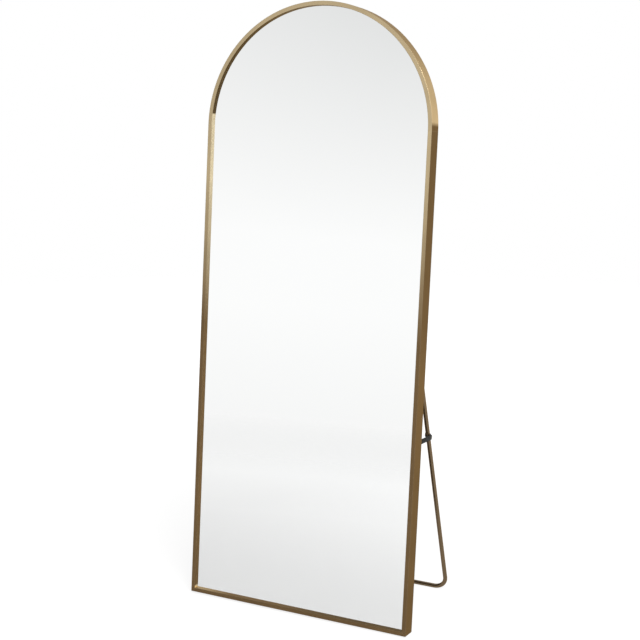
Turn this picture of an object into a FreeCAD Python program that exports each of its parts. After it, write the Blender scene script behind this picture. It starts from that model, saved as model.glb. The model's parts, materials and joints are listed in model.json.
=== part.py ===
import FreeCAD, Part
import Sketcher
import math
import os
import re

# Leaning floor mirror: an arched frame of deep aluminium profile, a mirror pane and a back board in it,
# and a U-shaped tube leg hinged at the back. A riveted stay on each side runs from the frame to a collar
# that slides on the leg, and holds the leg open.
#
# Most pieces are drawn upright, in the mirror's own frame: X to the right, Y to the back with the frame's
# back edge at 0, Z up from the bottom edge. They are then leaned back together. The leg's pieces are drawn
# hanging straight down from the hinge axis, and are swung out to the floor.

SIZES = {
    # frame
    "frame_width": 711, "frame_height": 1778, "frame_depth": 48, "lip_width": 12, "wall": 1.5,
    "edge_break": 0.5, "glass_recess": 9.5, "rib_reach": 4.2, "rib_thick": 1.6, "rib_front": -22.4,
    # panels, from front to back, standing clear of the frame's ribs by their edge
    "panel_edge": 4.7, "glass_thick": 4, "foam_thick": 1.5, "board_thick": 9,
    # board clips
    "clip_width": 25, "clip_length": 24, "clip_thick": 1.5, "clip_edge": 2.5, "clip_corner": 4,
    "clip_hole": 19,
    # keys in the rear channel
    "key_thick": 2.4, "key_width": 18.6, "key_leg": 60, "key_play": 0.05,
    "set_screw": 4, "set_screw_length": 3.6, "set_screw_at": 40,
    # pose: lean from upright, leg from the mirror's back
    "lean_angle": 5.78, "leg_angle": 23.78, "hinge_height": 784, "hinge_depth": 12,
    # leg
    "tube_diameter": 12.7, "tube_wall": 1, "leg_half_width": 339, "bend_radius": 42, "tube_above": 7,
    "plug_cap": 1.5, "plug_depth": 4,
    # hinge
    "pin_diameter": 5, "pin_play": 0.1, "bracket_thick": 2, "bracket_below": 14, "bracket_above": 46,
    "cheek_reach": 8, "cheek_corner": 6, "side_play": 0.35, "head_diameter": 9, "head_height": 2,
    "spacer_diameter": 9,
    # stay
    "stay_along_leg": 256, "link_width": 15, "link_thick": 1.5, "plate_thick": 1.5, "plate_width": 20,
    "plate_below": 10, "plate_above": 38, "plate_corner": 4, "pivot_play": 0.15, "stud_head": 8,
    "stud_head_height": 1.15,
    # collar
    "collar_height": 16, "collar_play": 0.2, "collar_waist": 7.6, "collar_flange": 9.2, "flange_height": 4.2,
    "collar_flat": 7.75, "link_gap": 0.3, "stop_diameter": 5, "stop_height": 2.2,
    # fasteners
    "nut_length": 12, "screw_diameter": 4, "screw_head": 7.4, "screw_head_height": 2.2,
    "first_screw": 18, "second_screw": 34, "screw_play": 0.1, "wood_screw": 3, "wood_head": 6,
    "wood_head_height": 1.8,
}

SIDES = {"left": -1, "right": 1}
FUNCTIONS = ("sin", "cos")
# Two lengths closer than this are the same.
NEAR = 0.01

# Depths that several pieces share, as expressions of the sheet.
PANEL_FRONT = "(glass_recess - frame_depth)"
BOARD_BACK = f"({PANEL_FRONT} + glass_thick + foam_thick + board_thick)"
CHANNEL_MIDDLE = "((rib_front + rib_thick - wall) / 2)"
ARCH_BASE = "(frame_height - frame_width / 2)"
# Widths at the hinge and the stay, outwards from the mirror's centre line.
RIB_PLANE = "(frame_width / 2 - rib_reach)"
LINK_INNER = "(leg_half_width + collar_flat + link_gap)"
LINK_OUTER = f"({LINK_INNER} + link_thick)"
# The frame stands on its back edge, and by the edge's small break lower than a sharp one. The leg and the
# stay are measured along the mirror's back.
FLOOR_DROP = "(edge_break * sin(lean_angle))"
LEG_LENGTH = (f"((hinge_height * cos(lean_angle) + hinge_depth * sin(lean_angle) - {FLOOR_DROP}"
              " - tube_diameter / 2) / cos(leg_angle - lean_angle))")
STAY_LENGTH = "(stay_along_leg * sin(leg_angle))"
STAY_HEIGHT = "(hinge_height - stay_along_leg * cos(leg_angle))"

doc = FreeCAD.newDocument("FloorMirror")
sheet = doc.addObject("Spreadsheet::Sheet", "Sizes")
for row, (alias, value) in enumerate(SIZES.items(), 1):
    sheet.set(f"A{row}", alias)
    sheet.set(f"B{row}", str(value))
    sheet.setAlias(f"B{row}", alias)
doc.recompute()

nodes = []


def bound(text):
    """An expression in which every alias names its cell in the sheet. A plain number stays as it is."""
    if not isinstance(text, str):
        return f"{text:.4f}"
    return re.sub(r"[a-z_]+", lambda m: m[0] if m[0] in FUNCTIONS else "Sizes." + m[0], text)


def number(text):
    """The value of such an expression, worked out by a property of the document."""
    probe.setExpression("Placement.Base.x", bound(text))
    probe.recompute()
    return probe.Placement.Base.x


probe = doc.addObject("Part::Feature", "Probe")


# --- the two frames -------------------------------------------------------------------------------

lean = FreeCAD.Rotation(FreeCAD.Vector(1, 0, 0), -number("lean_angle"))
swing = FreeCAD.Rotation(FreeCAD.Vector(1, 0, 0), number("leg_angle - lean_angle"))
# The part's origin is on the floor, in the middle between the foremost and the rearmost point.
front_reach = number(f"frame_depth * cos(lean_angle) - {FLOOR_DROP}")
hinge_y = number("hinge_height * sin(lean_angle) - hinge_depth * cos(lean_angle)")
hinge_z = number("hinge_height * cos(lean_angle) + hinge_depth * sin(lean_angle)")
leg_foot_y = hinge_y + number(f"{LEG_LENGTH} * sin(leg_angle - lean_angle)")
origin_shift = FreeCAD.Vector(0, (front_reach - leg_foot_y - number("tube_diameter / 2")) / 2,
                              -number(FLOOR_DROP))


def on_mirror(height=0, depth=0):
    """Leans a piece back with the mirror, from a point on the mirror's back."""
    local = FreeCAD.Vector(0, depth, height)
    return FreeCAD.Placement(lean.multVec(local) + origin_shift, lean)


def on_leg(along=0):
    """Swings a piece out with the leg, from a point down the tube."""
    hinge = FreeCAD.Vector(0, hinge_y, hinge_z) + origin_shift
    return FreeCAD.Placement(hinge + swing.multVec(FreeCAD.Vector(0, 0, -along)), swing)


# --- sketches and features ------------------------------------------------------------------------

def new_body(name):
    body = doc.addObject("PartDesign::Body", name)
    nodes.append(body)
    return body


def new_sketch(body, plane, offset="0"):
    """A sketch on one of the body's origin planes, moved along the plane's normal."""
    sketch = body.newObject("Sketcher::SketchObject", body.Name + "_sketch")
    support = next(f for f in body.Origin.OriginFeatures if f.Role == plane)
    sketch.AttachmentSupport = [(support, "")]
    sketch.MapMode = "FlatFace"
    if offset != "0":
        sketch.setExpression(".AttachmentOffset.Base.z", bound(offset))
    return sketch


def fix_point(sketch, geometry, end, x, y):
    """Pins a sketch point to the sketch's axes or at bound distances from them."""
    for kind, axis, value in (("DistanceX", -2, x), ("DistanceY", -1, y)):
        if bound(value) in ("0", "0.0000", "-0.0000"):
            sketch.addConstraint(Sketcher.Constraint("PointOnObject", geometry, end, axis))
            continue
        start = number(value)
        index = sketch.addConstraint(Sketcher.Constraint(kind, -1, 1, geometry, end, start))
        sketch.setExpression(f"Constraints[{index}]", bound(value))


def outline(sketch, corners):
    """A closed outline with straight sides, each corner given by two bound expressions."""
    points = [FreeCAD.Vector(number(x), number(y), 0) for x, y in corners]
    first = len(sketch.Geometry)
    for i, start in enumerate(points):
        sketch.addGeometry(Part.LineSegment(start, points[(i + 1) % len(points)]), False)
    for i, (x, y) in enumerate(corners):
        following = first + (i + 1) % len(corners)
        sketch.addConstraint(Sketcher.Constraint("Coincident", first + i, 2, following, 1))
        fix_point(sketch, first + i, 1, x, y)


def circle(sketch, x, y, radius):
    centre = FreeCAD.Vector(number(x), number(y), 0)
    index = sketch.addGeometry(Part.Circle(centre, FreeCAD.Vector(0, 0, 1), number(radius)), False)
    fix_point(sketch, index, 3, x, y)
    size = sketch.addConstraint(Sketcher.Constraint("Radius", index, number(radius)))
    sketch.setExpression(f"Constraints[{size}]", bound(radius))


def arched_outline(sketch, edge):
    """The mirror's outline, drawn in from the frame's outer face by the given edge."""
    half = number(f"frame_width / 2 - {edge}")
    base = number(ARCH_BASE)
    bottom = number(edge)
    up = FreeCAD.Vector(0, 0, 1)
    corners = [FreeCAD.Vector(-half, base, 0), FreeCAD.Vector(-half, bottom, 0),
               FreeCAD.Vector(half, bottom, 0), FreeCAD.Vector(half, base, 0)]
    for start, end in zip(corners, corners[1:]):
        sketch.addGeometry(Part.LineSegment(start, end), False)
    top = Part.ArcOfCircle(Part.Circle(FreeCAD.Vector(0, base, 0), up, half), 0, math.pi)
    arc = sketch.addGeometry(top, False)
    sketch.addConstraint(Sketcher.Constraint("Coincident", 0, 2, 1, 1))
    sketch.addConstraint(Sketcher.Constraint("Coincident", 1, 2, 2, 1))
    sketch.addConstraint(Sketcher.Constraint("Coincident", 2, 2, arc, 1))
    sketch.addConstraint(Sketcher.Constraint("Coincident", arc, 2, 0, 1))
    fix_point(sketch, 1, 1, f"{edge} - frame_width / 2", edge)
    fix_point(sketch, 1, 2, f"frame_width / 2 - {edge}", edge)
    fix_point(sketch, arc, 3, "0", ARCH_BASE)
    fix_point(sketch, arc, 1, f"frame_width / 2 - {edge}", ARCH_BASE)
    sketch.addConstraint(Sketcher.Constraint("Horizontal", arc, 2, arc, 3))


def slot_outline(sketch, length, width):
    """A strip from the origin along the sketch's X, rounded about both ends."""
    reach = number(length)
    radius = number(width) / 2
    up = FreeCAD.Vector(0, 0, 1)
    near = Part.ArcOfCircle(Part.Circle(FreeCAD.Vector(), up, radius), math.pi / 2, 1.5 * math.pi)
    far_centre = Part.Circle(FreeCAD.Vector(reach, 0, 0), up, radius)
    far = Part.ArcOfCircle(far_centre, -math.pi / 2, math.pi / 2)
    sketch.addGeometry(near, False)
    sketch.addGeometry(Part.LineSegment(near.EndPoint, far.StartPoint), False)
    sketch.addGeometry(far, False)
    sketch.addGeometry(Part.LineSegment(far.EndPoint, near.StartPoint), False)
    for i in range(4):
        sketch.addConstraint(Sketcher.Constraint("Tangent", i, 2, (i + 1) % 4, 1))
    fix_point(sketch, 0, 3, "0", "0")
    fix_point(sketch, 2, 3, length, "0")
    size = sketch.addConstraint(Sketcher.Constraint("Radius", 0, radius))
    sketch.setExpression(f"Constraints[{size}]", bound(f"{width} / 2"))


def pad(body, sketch, length, symmetric=False, backwards=False):
    feature = body.newObject("PartDesign::Pad", body.Name + "_pad")
    feature.Profile = sketch
    feature.SideType = "Symmetric" if symmetric else "One side"
    feature.Reversed = backwards
    feature.setExpression("Length", bound(length))
    return feature


def cut_through(body, sketch):
    """Cuts the sketch through the whole body, on both sides of its plane."""
    doc.recompute()
    before = body.Shape.Volume
    feature = body.newObject("PartDesign::Pocket", body.Name + "_pocket")
    feature.Profile = sketch
    feature.SideType = "Symmetric"
    feature.Type = "ThroughAll"
    doc.recompute()
    if body.Shape.Volume > before - 0.1:
        raise RuntimeError(f"{body.Label}: a pocket cut nothing")
    return feature


def revolve(body, sketch, axis, angle, backwards=False):
    """Turns the sketch about one of its own axes."""
    feature = body.newObject("PartDesign::Revolution", body.Name + "_turn")
    feature.Profile = sketch
    feature.ReferenceAxis = (sketch, [axis])
    feature.Angle = angle
    feature.Reversed = backwards
    return feature


def chamfer_edges(body, size, wanted):
    """Takes off the edges of the body's tip that the test picks."""
    doc.recompute()
    tip = body.Tip
    names = [f"Edge{i}" for i, edge in enumerate(tip.Shape.Edges, 1) if wanted(edge)]
    if not names:
        raise RuntimeError(f"{body.Label}: no edge to take off")
    feature = body.newObject("PartDesign::Chamfer", body.Name + "_chamfer")
    feature.Base = (tip, names)
    feature.setExpression("Size", bound(size))
    return feature


def along(edge, axis):
    """True for a straight edge parallel to the axis X, Y or Z."""
    if not isinstance(edge.Curve, Part.Line):
        return False
    return abs(abs(getattr(edge.Curve.Direction, axis)) - 1) < 1e-6


# --- frame ----------------------------------------------------------------------------------------

def section(outwards):
    """The profile's outline and its hollow front chamber. Each corner is a distance in from the outer
    face, mapped by outwards, and a depth."""
    wall_ring = [
        ("edge_break", "-frame_depth"),
        ("lip_width - edge_break", "-frame_depth"),
        ("lip_width", "edge_break - frame_depth"),
        ("lip_width", PANEL_FRONT),
        ("wall", PANEL_FRONT),
        ("wall", "rib_front"),
        ("rib_reach", "rib_front"),
        ("rib_reach", "rib_front + rib_thick"),
        ("wall", "rib_front + rib_thick"),
        ("wall", "-wall"),
        ("rib_reach", "-wall"),
        ("rib_reach", "0"),
        ("edge_break", "0"),
        ("0", "-edge_break"),
        ("0", "edge_break - frame_depth"),
    ]
    chamber = [
        ("wall", "wall - frame_depth"),
        ("lip_width - wall", "wall - frame_depth"),
        ("lip_width - wall", f"{PANEL_FRONT} - wall"),
        ("wall", f"{PANEL_FRONT} - wall"),
    ]
    return [[(outwards(inset), depth) for inset, depth in ring] for ring in (wall_ring, chamber)]


def mitre(body, corners):
    """Cuts one end of a rail at 45 degrees."""
    sketch = new_sketch(body, "XZ_Plane")
    outline(sketch, corners)
    cut_through(body, sketch)


def make_side_rail(name, side):
    body = new_body(f"side_rail_{name}")
    sketch = new_sketch(body, "XY_Plane")
    for ring in section(lambda inset: f"{side} * (frame_width / 2 - ({inset}))"):
        outline(sketch, ring)
    pad(body, sketch, ARCH_BASE)
    outer = f"{side} * frame_width / 2"
    inner = f"{side} * (frame_width / 2 - 2 * lip_width)"
    mitre(body, [(outer, "0"), (inner, "0"), (inner, "2 * lip_width")])
    body.Placement = on_mirror()


def make_bottom_rail():
    body = new_body("bottom_rail")
    sketch = new_sketch(body, "YZ_Plane")
    for ring in section(lambda inset: inset):
        outline(sketch, [(depth, inset) for inset, depth in ring])
    pad(body, sketch, "frame_width", symmetric=True)
    for side in SIDES.values():
        outer = f"{side} * frame_width / 2"
        inner = f"{side} * (frame_width / 2 - 2 * lip_width)"
        mitre(body, [(outer, "0"), (outer, "2 * lip_width"), (inner, "2 * lip_width")])
    body.Placement = on_mirror()


def make_arch():
    """The bent half circle, one length of the same profile."""
    body = new_body("frame_arch")
    sketch = new_sketch(body, "XY_Plane")
    for ring in section(lambda inset: f"frame_width / 2 - ({inset})"):
        outline(sketch, ring)
    revolve(body, sketch, "V_Axis", angle=180, backwards=True)
    body.Placement = on_mirror(number(ARCH_BASE))


def make_panel(name, thickness, front):
    """A sheet with the mirror's outline."""
    body = new_body(name)
    sketch = new_sketch(body, "XZ_Plane")
    arched_outline(sketch, "panel_edge")
    pad(body, sketch, thickness, backwards=True)
    body.Placement = on_mirror(depth=number(front))


# --- small solids ---------------------------------------------------------------------------------

# Screws and rivets repeat often, so they have eight flat sides instead of a round one. The collars have
# sixteen.
STUD_TURNS = [22.5 + 45 * step for step in range(8)]
COLLAR_TURNS = [11.25 + 22.5 * step for step in range(16)]


def plate(x_size, y_size, z_size, centre):
    """A plain block about its centre."""
    corner = FreeCAD.Vector(*centre) - FreeCAD.Vector(x_size, y_size, z_size) / 2
    return Part.makeBox(x_size, y_size, z_size, corner)


def stud(radius, length, point, direction):
    """A short flat-sided bar from a point."""
    corners = [FreeCAD.Vector(radius * math.cos(math.radians(turn)), radius * math.sin(math.radians(turn)), 0)
               for turn in STUD_TURNS + STUD_TURNS[:1]]
    bar = Part.Face(Part.makePolygon(corners)).extrude(FreeCAD.Vector(0, 0, length))
    bar.Placement = FreeCAD.Placement(point, FreeCAD.Rotation(FreeCAD.Vector(0, 0, 1), direction))
    return bar


def around_stud(diameter, play="screw_play"):
    """The radius to the corners of a hole with as many sides as a stud, with play between the flats."""
    return f"(({diameter} / 2 + {play}) / cos({STUD_TURNS[0]}))"


def flat_sided(sketch, x, y, radius, turns):
    """A closed outline about a point, with a corner at each turn."""
    outline(sketch, [(f"{x} + {radius} * cos({turn})", f"{y} + {radius} * sin({turn})") for turn in turns])


def stud_hole(sketch, x, y, diameter):
    flat_sided(sketch, x, y, around_stud(diameter), STUD_TURNS)


def group(name, solids, placement):
    """Like pieces that share one node, as separate solids."""
    feature = doc.addObject("Part::Feature", name)
    feature.Shape = Part.Compound(solids) if len(solids) > 1 else solids[0]
    feature.Placement = placement
    nodes.append(feature)


# --- keys and clips -------------------------------------------------------------------------------

def make_corner_key(name, side):
    """A bent flat strip that joins a side rail to the bottom rail, inside the rear channel."""
    body = new_body(f"corner_key_{name}")
    sketch = new_sketch(body, "XZ_Plane")
    gap = "(wall + key_play)"
    face = f"{side} * (frame_width / 2 - {gap})"
    back = f"{side} * (frame_width / 2 - {gap} - key_thick)"
    end = f"{side} * (frame_width / 2 - {gap} - key_leg)"
    outline(sketch, [(face, gap), (end, gap), (end, f"{gap} + key_thick"), (back, f"{gap} + key_thick"),
                     (back, f"{gap} + key_leg"), (face, f"{gap} + key_leg")])
    pad(body, sketch, "key_width", symmetric=True)
    low_hole = new_sketch(body, "XY_Plane")
    stud_hole(low_hole, f"{side} * (frame_width / 2 - set_screw_at)", "0", "set_screw")
    cut_through(body, low_hole)
    side_hole = new_sketch(body, "YZ_Plane")
    stud_hole(side_hole, "0", "set_screw_at", "set_screw")
    cut_through(body, side_hole)
    body.Placement = on_mirror(depth=number(CHANNEL_MIDDLE))


def key_screw_spots(side):
    """The set screws of one side, each as a point on the rail's wall and its inward direction: two in the
    corner key, two in the splice key."""
    wall = number("frame_width / 2 - wall")
    at = number("set_screw_at")
    base = number(ARCH_BASE)
    inwards = FreeCAD.Vector(-side, 0, 0)
    up = FreeCAD.Vector(0, 0, 1)
    turn = at / wall
    outwards = FreeCAD.Vector(side * math.cos(turn), 0, math.sin(turn))
    corner = [(FreeCAD.Vector(side * wall, 0, at), inwards),
              (FreeCAD.Vector(side * (number("frame_width / 2") - at), 0, number("wall")), up)]
    splice = [(FreeCAD.Vector(side * wall, 0, base - at), inwards),
              (outwards * wall + up * base, outwards * -1)]
    return corner, splice


def make_splice_key(name, side):
    """A strip across the joint between side rail and arch: straight below it, bent to the arch above."""
    face = number("frame_width / 2 - wall - key_play")
    thick = number("key_thick")
    width = number("key_width")
    reach = number("key_leg")
    up = FreeCAD.Vector(0, 0, number(ARCH_BASE))
    straight = plate(thick, width, reach, (side * (face - thick / 2), 0, up.z - reach / 2))
    end = max(straight.Faces, key=lambda plane: plane.CenterOfMass.z)
    bent = end.revolve(up, FreeCAD.Vector(0, -side, 0), math.degrees(reach / face))
    key = straight.fuse(bent)
    hole = number(around_stud("set_screw"))
    for point, direction in key_screw_spots(side)[1]:
        key = key.cut(stud(hole, number("set_screw_length"), point, direction))
    group(f"splice_key_{name}", [key], on_mirror(depth=number(CHANNEL_MIDDLE)))


def make_key_screws():
    """Headless screws through the keys, which press against the rails' walls."""
    radius = number("set_screw / 2")
    length = number("set_screw_length")
    screws = []
    for side in SIDES.values():
        corner, splice = key_screw_spots(side)
        screws += [stud(radius, length, point, direction) for point, direction in corner + splice]
    group("key_screws", screws, on_mirror(depth=number(CHANNEL_MIDDLE)))


# Where the clips sit: along the bottom rail in parts of half its length, up the side rails in parts of
# theirs, and round the arch in degrees.
BOTTOM_CLIPS = (-0.5, 0.5)
SIDE_CLIPS = (0.14, 0.68, 0.92)
ARCH_CLIPS = (35, 90, 145)


def clip_spots():
    """Each clip's point on the frame's outer face, and the turn of its inward direction about the mirror's
    depth."""
    half = number("frame_width / 2")
    base = number(ARCH_BASE)
    spots = [(part * half, 0, 90) for part in BOTTOM_CLIPS]
    for side in SIDES.values():
        spots += [(side * half, part * base, 90 + side * 90) for part in SIDE_CLIPS]
    for angle in ARCH_CLIPS:
        turn = math.radians(angle)
        spots.append((half * math.cos(turn), base + half * math.sin(turn), 180 + angle))
    return spots


def make_clips():
    """Flat clips on the board, with their outer ends under the frame's rib, and the screws that hold them.
    The screws end at the board's face."""
    length = number("clip_length")
    width = number("clip_width")
    thick = number("clip_thick")
    edge = number("clip_edge")
    back = FreeCAD.Vector(0, 1, 0)
    board_back = number(BOARD_BACK)
    foot = FreeCAD.Vector(number("clip_hole"), board_back, 0)
    blank = plate(length, thick, width, (edge + length / 2, board_back + thick / 2, 0))
    free_corners = [e for e in blank.Edges if along(e, "y") and e.CenterOfMass.x > length / 2]
    blank = blank.makeChamfer(number("clip_corner"), free_corners)
    blank = blank.cut(stud(number(around_stud("wood_screw")), thick, foot, back))
    head_height = number("wood_head_height")
    shank = stud(number("wood_screw / 2"), thick, foot, back)
    head = stud(number("wood_head / 2"), head_height, foot + back * thick, back)
    screw = shank.fuse(head)
    clips = []
    screws = []
    for x, z, angle in clip_spots():
        spot = FreeCAD.Placement(FreeCAD.Vector(x, 0, z), FreeCAD.Rotation(FreeCAD.Vector(0, 1, 0), -angle))
        clips.append(blank.transformed(spot.Matrix))
        screws.append(screw.transformed(spot.Matrix))
    group("board_clips", clips, on_mirror())
    group("clip_screws", screws, on_mirror())


# --- hinge ----------------------------------------------------------------------------------------

def make_hinge_bracket(name, side):
    """A U of bent sheet: one cheek against the frame's ribs, a base on the back board, and an inner cheek
    as far above the hinge axis as below it."""
    body = new_body(f"hinge_bracket_{name}")
    board = BOARD_BACK
    top = "(cheek_reach - hinge_depth)"
    inner = "(leg_half_width - tube_diameter / 2 - side_play)"
    base = new_sketch(body, "XY_Plane", "-bracket_below")
    outer_face = f"{side} * {RIB_PLANE}"
    outer_back = f"{side} * ({RIB_PLANE} - bracket_thick)"
    inner_back = f"{side} * ({inner} - bracket_thick)"
    outline(base, [(outer_face, board), (outer_face, top), (outer_back, top),
                   (outer_back, f"{board} + bracket_thick"), (inner_back, f"{board} + bracket_thick"),
                   (inner_back, board)])
    pad(body, base, "bracket_below + bracket_above")
    cheek = new_sketch(body, "XY_Plane", "-bracket_below")
    inner_face = f"{side} * {inner}"
    outline(cheek, [(inner_face, f"{board} + bracket_thick"), (inner_face, top), (inner_back, top),
                    (inner_back, f"{board} + bracket_thick")])
    pad(body, cheek, "2 * bracket_below")
    top_value = number(top)
    chamfer_edges(body, "cheek_corner", lambda edge: along(edge, "x")
                  and abs(edge.CenterOfMass.y - top_value) < NEAR)
    holes = new_sketch(body, "YZ_Plane")
    circle(holes, "-hinge_depth", "0", "pin_diameter / 2")
    for height in ("first_screw", "second_screw"):
        stud_hole(holes, CHANNEL_MIDDLE, height, "screw_diameter")
    cut_through(body, holes)
    body.Placement = on_mirror(number("hinge_height"))


def make_hinge_pin(name, side):
    """A riveted pin through bracket and tube: its tail is flush with the outer cheek, its head inside."""
    head_height = number("head_height")
    tail = number(RIB_PLANE)
    seat = number("leg_half_width - tube_diameter / 2 - side_play - bracket_thick")
    inwards = FreeCAD.Vector(-side, 0, 0)
    start = FreeCAD.Vector(side * tail, 0, 0)
    shaft = Part.makeCylinder(number("pin_diameter / 2"), tail - seat, start, inwards)
    head = stud(number("head_diameter / 2"), head_height, FreeCAD.Vector(side * seat, 0, 0), inwards)
    group(f"hinge_pin_{name}", [shaft.fuse(head)], on_mirror(number("hinge_height"), -number("hinge_depth")))


def make_hinge_spacers():
    """Bushes that keep the tube off the outer cheeks."""
    bushes = []
    start = number("leg_half_width + tube_diameter / 2 + side_play")
    length = number(f"{RIB_PLANE} - bracket_thick") - start
    hole = number(around_stud("pin_diameter", "pin_play"))
    for side in SIDES.values():
        point = FreeCAD.Vector(side * start, 0, 0)
        axis = FreeCAD.Vector(side, 0, 0)
        bush = stud(number("spacer_diameter / 2"), length, point, axis)
        bushes.append(bush.cut(stud(hole, length, point, axis)))
    group("hinge_spacers", bushes, on_mirror(number("hinge_height"), -number("hinge_depth")))


def bracket_screw_spots():
    """Heights on the mirror's back of the screws that hold the brackets and plates, with the thickness
    under their heads."""
    spots = []
    for start, thick in (("hinge_height", "bracket_thick"), (STAY_HEIGHT, "plate_thick")):
        for height in ("first_screw", "second_screw"):
            spots.append((number(f"{start} + {height}"), number(thick)))
    return spots


def make_bracket_fasteners():
    """Nuts in the frame's rear channel, and the screws that draw brackets and plates against them."""
    nuts = []
    screws = []
    rib = number(RIB_PLANE)
    nut_thick = number("key_thick")
    radius = number("screw_diameter / 2")
    hole = number(around_stud("screw_diameter"))
    head_radius = number("screw_head / 2")
    head_height = number("screw_head_height")
    for side in SIDES.values():
        inwards = FreeCAD.Vector(-side, 0, 0)
        for height, thick in bracket_screw_spots():
            nut = plate(nut_thick, number("key_width"), number("nut_length"),
                        (side * (rib + nut_thick / 2), 0, height))
            start = FreeCAD.Vector(side * (rib + nut_thick), 0, height)
            nuts.append(nut.cut(stud(hole, nut_thick, start, inwards)))
            seat = FreeCAD.Vector(side * (rib - thick), 0, height)
            shank = stud(radius, nut_thick + thick, start, inwards)
            screws.append(shank.fuse(stud(head_radius, head_height, seat, inwards)))
    group("channel_nuts", nuts, on_mirror(depth=number(CHANNEL_MIDDLE)))
    group("bracket_screws", screws, on_mirror(depth=number(CHANNEL_MIDDLE)))


# --- stay -----------------------------------------------------------------------------------------

def make_stay_plate(name, side):
    """A flat plate on the frame's ribs, which carries the stay's pivot."""
    body = new_body(f"stay_plate_{name}")
    inner = f"{RIB_PLANE} - plate_thick"
    sketch = new_sketch(body, "YZ_Plane", inner if side > 0 else f"-{RIB_PLANE}")
    front = f"{CHANNEL_MIDDLE} - plate_width / 2"
    back = f"{CHANNEL_MIDDLE} + plate_width / 2"
    outline(sketch, [(front, "-plate_below"), (back, "-plate_below"), (back, "plate_above"),
                     (front, "plate_above")])
    circle(sketch, "-hinge_depth", "0", "pin_diameter / 2")
    for height in ("first_screw", "second_screw"):
        stud_hole(sketch, CHANNEL_MIDDLE, height, "screw_diameter")
    pad(body, sketch, "plate_thick")
    ends = (number("-plate_below"), number("plate_above"))
    chamfer_edges(body, "plate_corner", lambda edge: along(edge, "x")
                  and min(abs(edge.CenterOfMass.z - end) for end in ends) < NEAR)
    body.Placement = on_mirror(number(STAY_HEIGHT))


def make_stay_pivot(name, side):
    """A shouldered rivet: the shoulder stands on the plate, and the link turns between it and the head."""
    play = number("pivot_play")
    outer = number(RIB_PLANE)
    inner = number(f"{LINK_INNER} - pivot_play")
    plate_face = outer - number("plate_thick")
    head_radius = number("stud_head / 2")
    inwards = FreeCAD.Vector(-side, 0, 0)
    start = FreeCAD.Vector(side * outer, 0, 0)
    axle = Part.makeCylinder(number("pin_diameter / 2"), outer - inner, start, inwards)
    shoulder = stud(head_radius, plate_face - number(LINK_OUTER) - play,
                    FreeCAD.Vector(side * plate_face, 0, 0), inwards)
    head = stud(head_radius, number("stud_head_height"), FreeCAD.Vector(side * inner, 0, 0), inwards)
    group(f"stay_pivot_{name}", [axle.fuse([shoulder, head])],
          on_mirror(number(STAY_HEIGHT), -number("hinge_depth")))


def make_stay_link(name, side):
    """A flat strip with a hole near each rounded end, pointing straight back from its pivot."""
    body = new_body(f"stay_link_{name}")
    sketch = new_sketch(body, "YZ_Plane", LINK_INNER if side > 0 else f"-{LINK_OUTER}")
    slot_outline(sketch, STAY_LENGTH, "link_width")
    circle(sketch, "0", "0", "pin_diameter / 2 + pin_play")
    stud_hole(sketch, STAY_LENGTH, "0", "screw_diameter")
    pad(body, sketch, "link_thick")
    body.Placement = on_mirror(number(STAY_HEIGHT), -number("hinge_depth"))


def make_stay_rivet(name, side):
    """The rivet at the link's far end. Its inner end is flush, so that it stays clear of the collar."""
    outwards = FreeCAD.Vector(side, 0, 0)
    shank = stud(number("screw_diameter / 2"), number("link_thick"),
                 outwards * number(LINK_INNER), outwards)
    head = stud(number("stud_head / 2"), number("stud_head_height"), outwards * number(LINK_OUTER), outwards)
    depth = number(f"{STAY_LENGTH} - hinge_depth")
    group(f"stay_rivet_{name}", [shank.fuse(head)], on_mirror(number(STAY_HEIGHT), depth))


def make_collar(name, side):
    """A bobbin-shaped sleeve with two flanges, cut flat on the side that meets the link."""
    body = new_body(f"collar_{name}")
    lower_end = "flange_height - collar_height / 2"
    upper_end = "collar_height / 2 - flange_height"
    for start, height, radius in (("-collar_height / 2", "flange_height", "collar_flange"),
                                  (lower_end, "collar_height - 2 * flange_height", "collar_waist"),
                                  (upper_end, "flange_height", "collar_flange")):
        ring = new_sketch(body, "XY_Plane", start)
        flat_sided(ring, "0", "0", radius, COLLAR_TURNS)
        circle(ring, "0", "0", "tube_diameter / 2 + collar_play")
        pad(body, ring, height)
    flat = new_sketch(body, "XY_Plane")
    near = f"{side} * collar_flat"
    far = f"{side} * 2 * collar_flange"
    outline(flat, [(near, "-2 * collar_flange"), (far, "-2 * collar_flange"), (far, "2 * collar_flange"),
                   (near, "2 * collar_flange")])
    cut_through(body, flat)
    placement = on_leg(number("stay_along_leg"))
    sideways = FreeCAD.Vector(side * number("leg_half_width"), 0, 0)
    body.Placement = FreeCAD.Placement(placement.Base + sideways, placement.Rotation)


# --- leg ------------------------------------------------------------------------------------------

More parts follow.
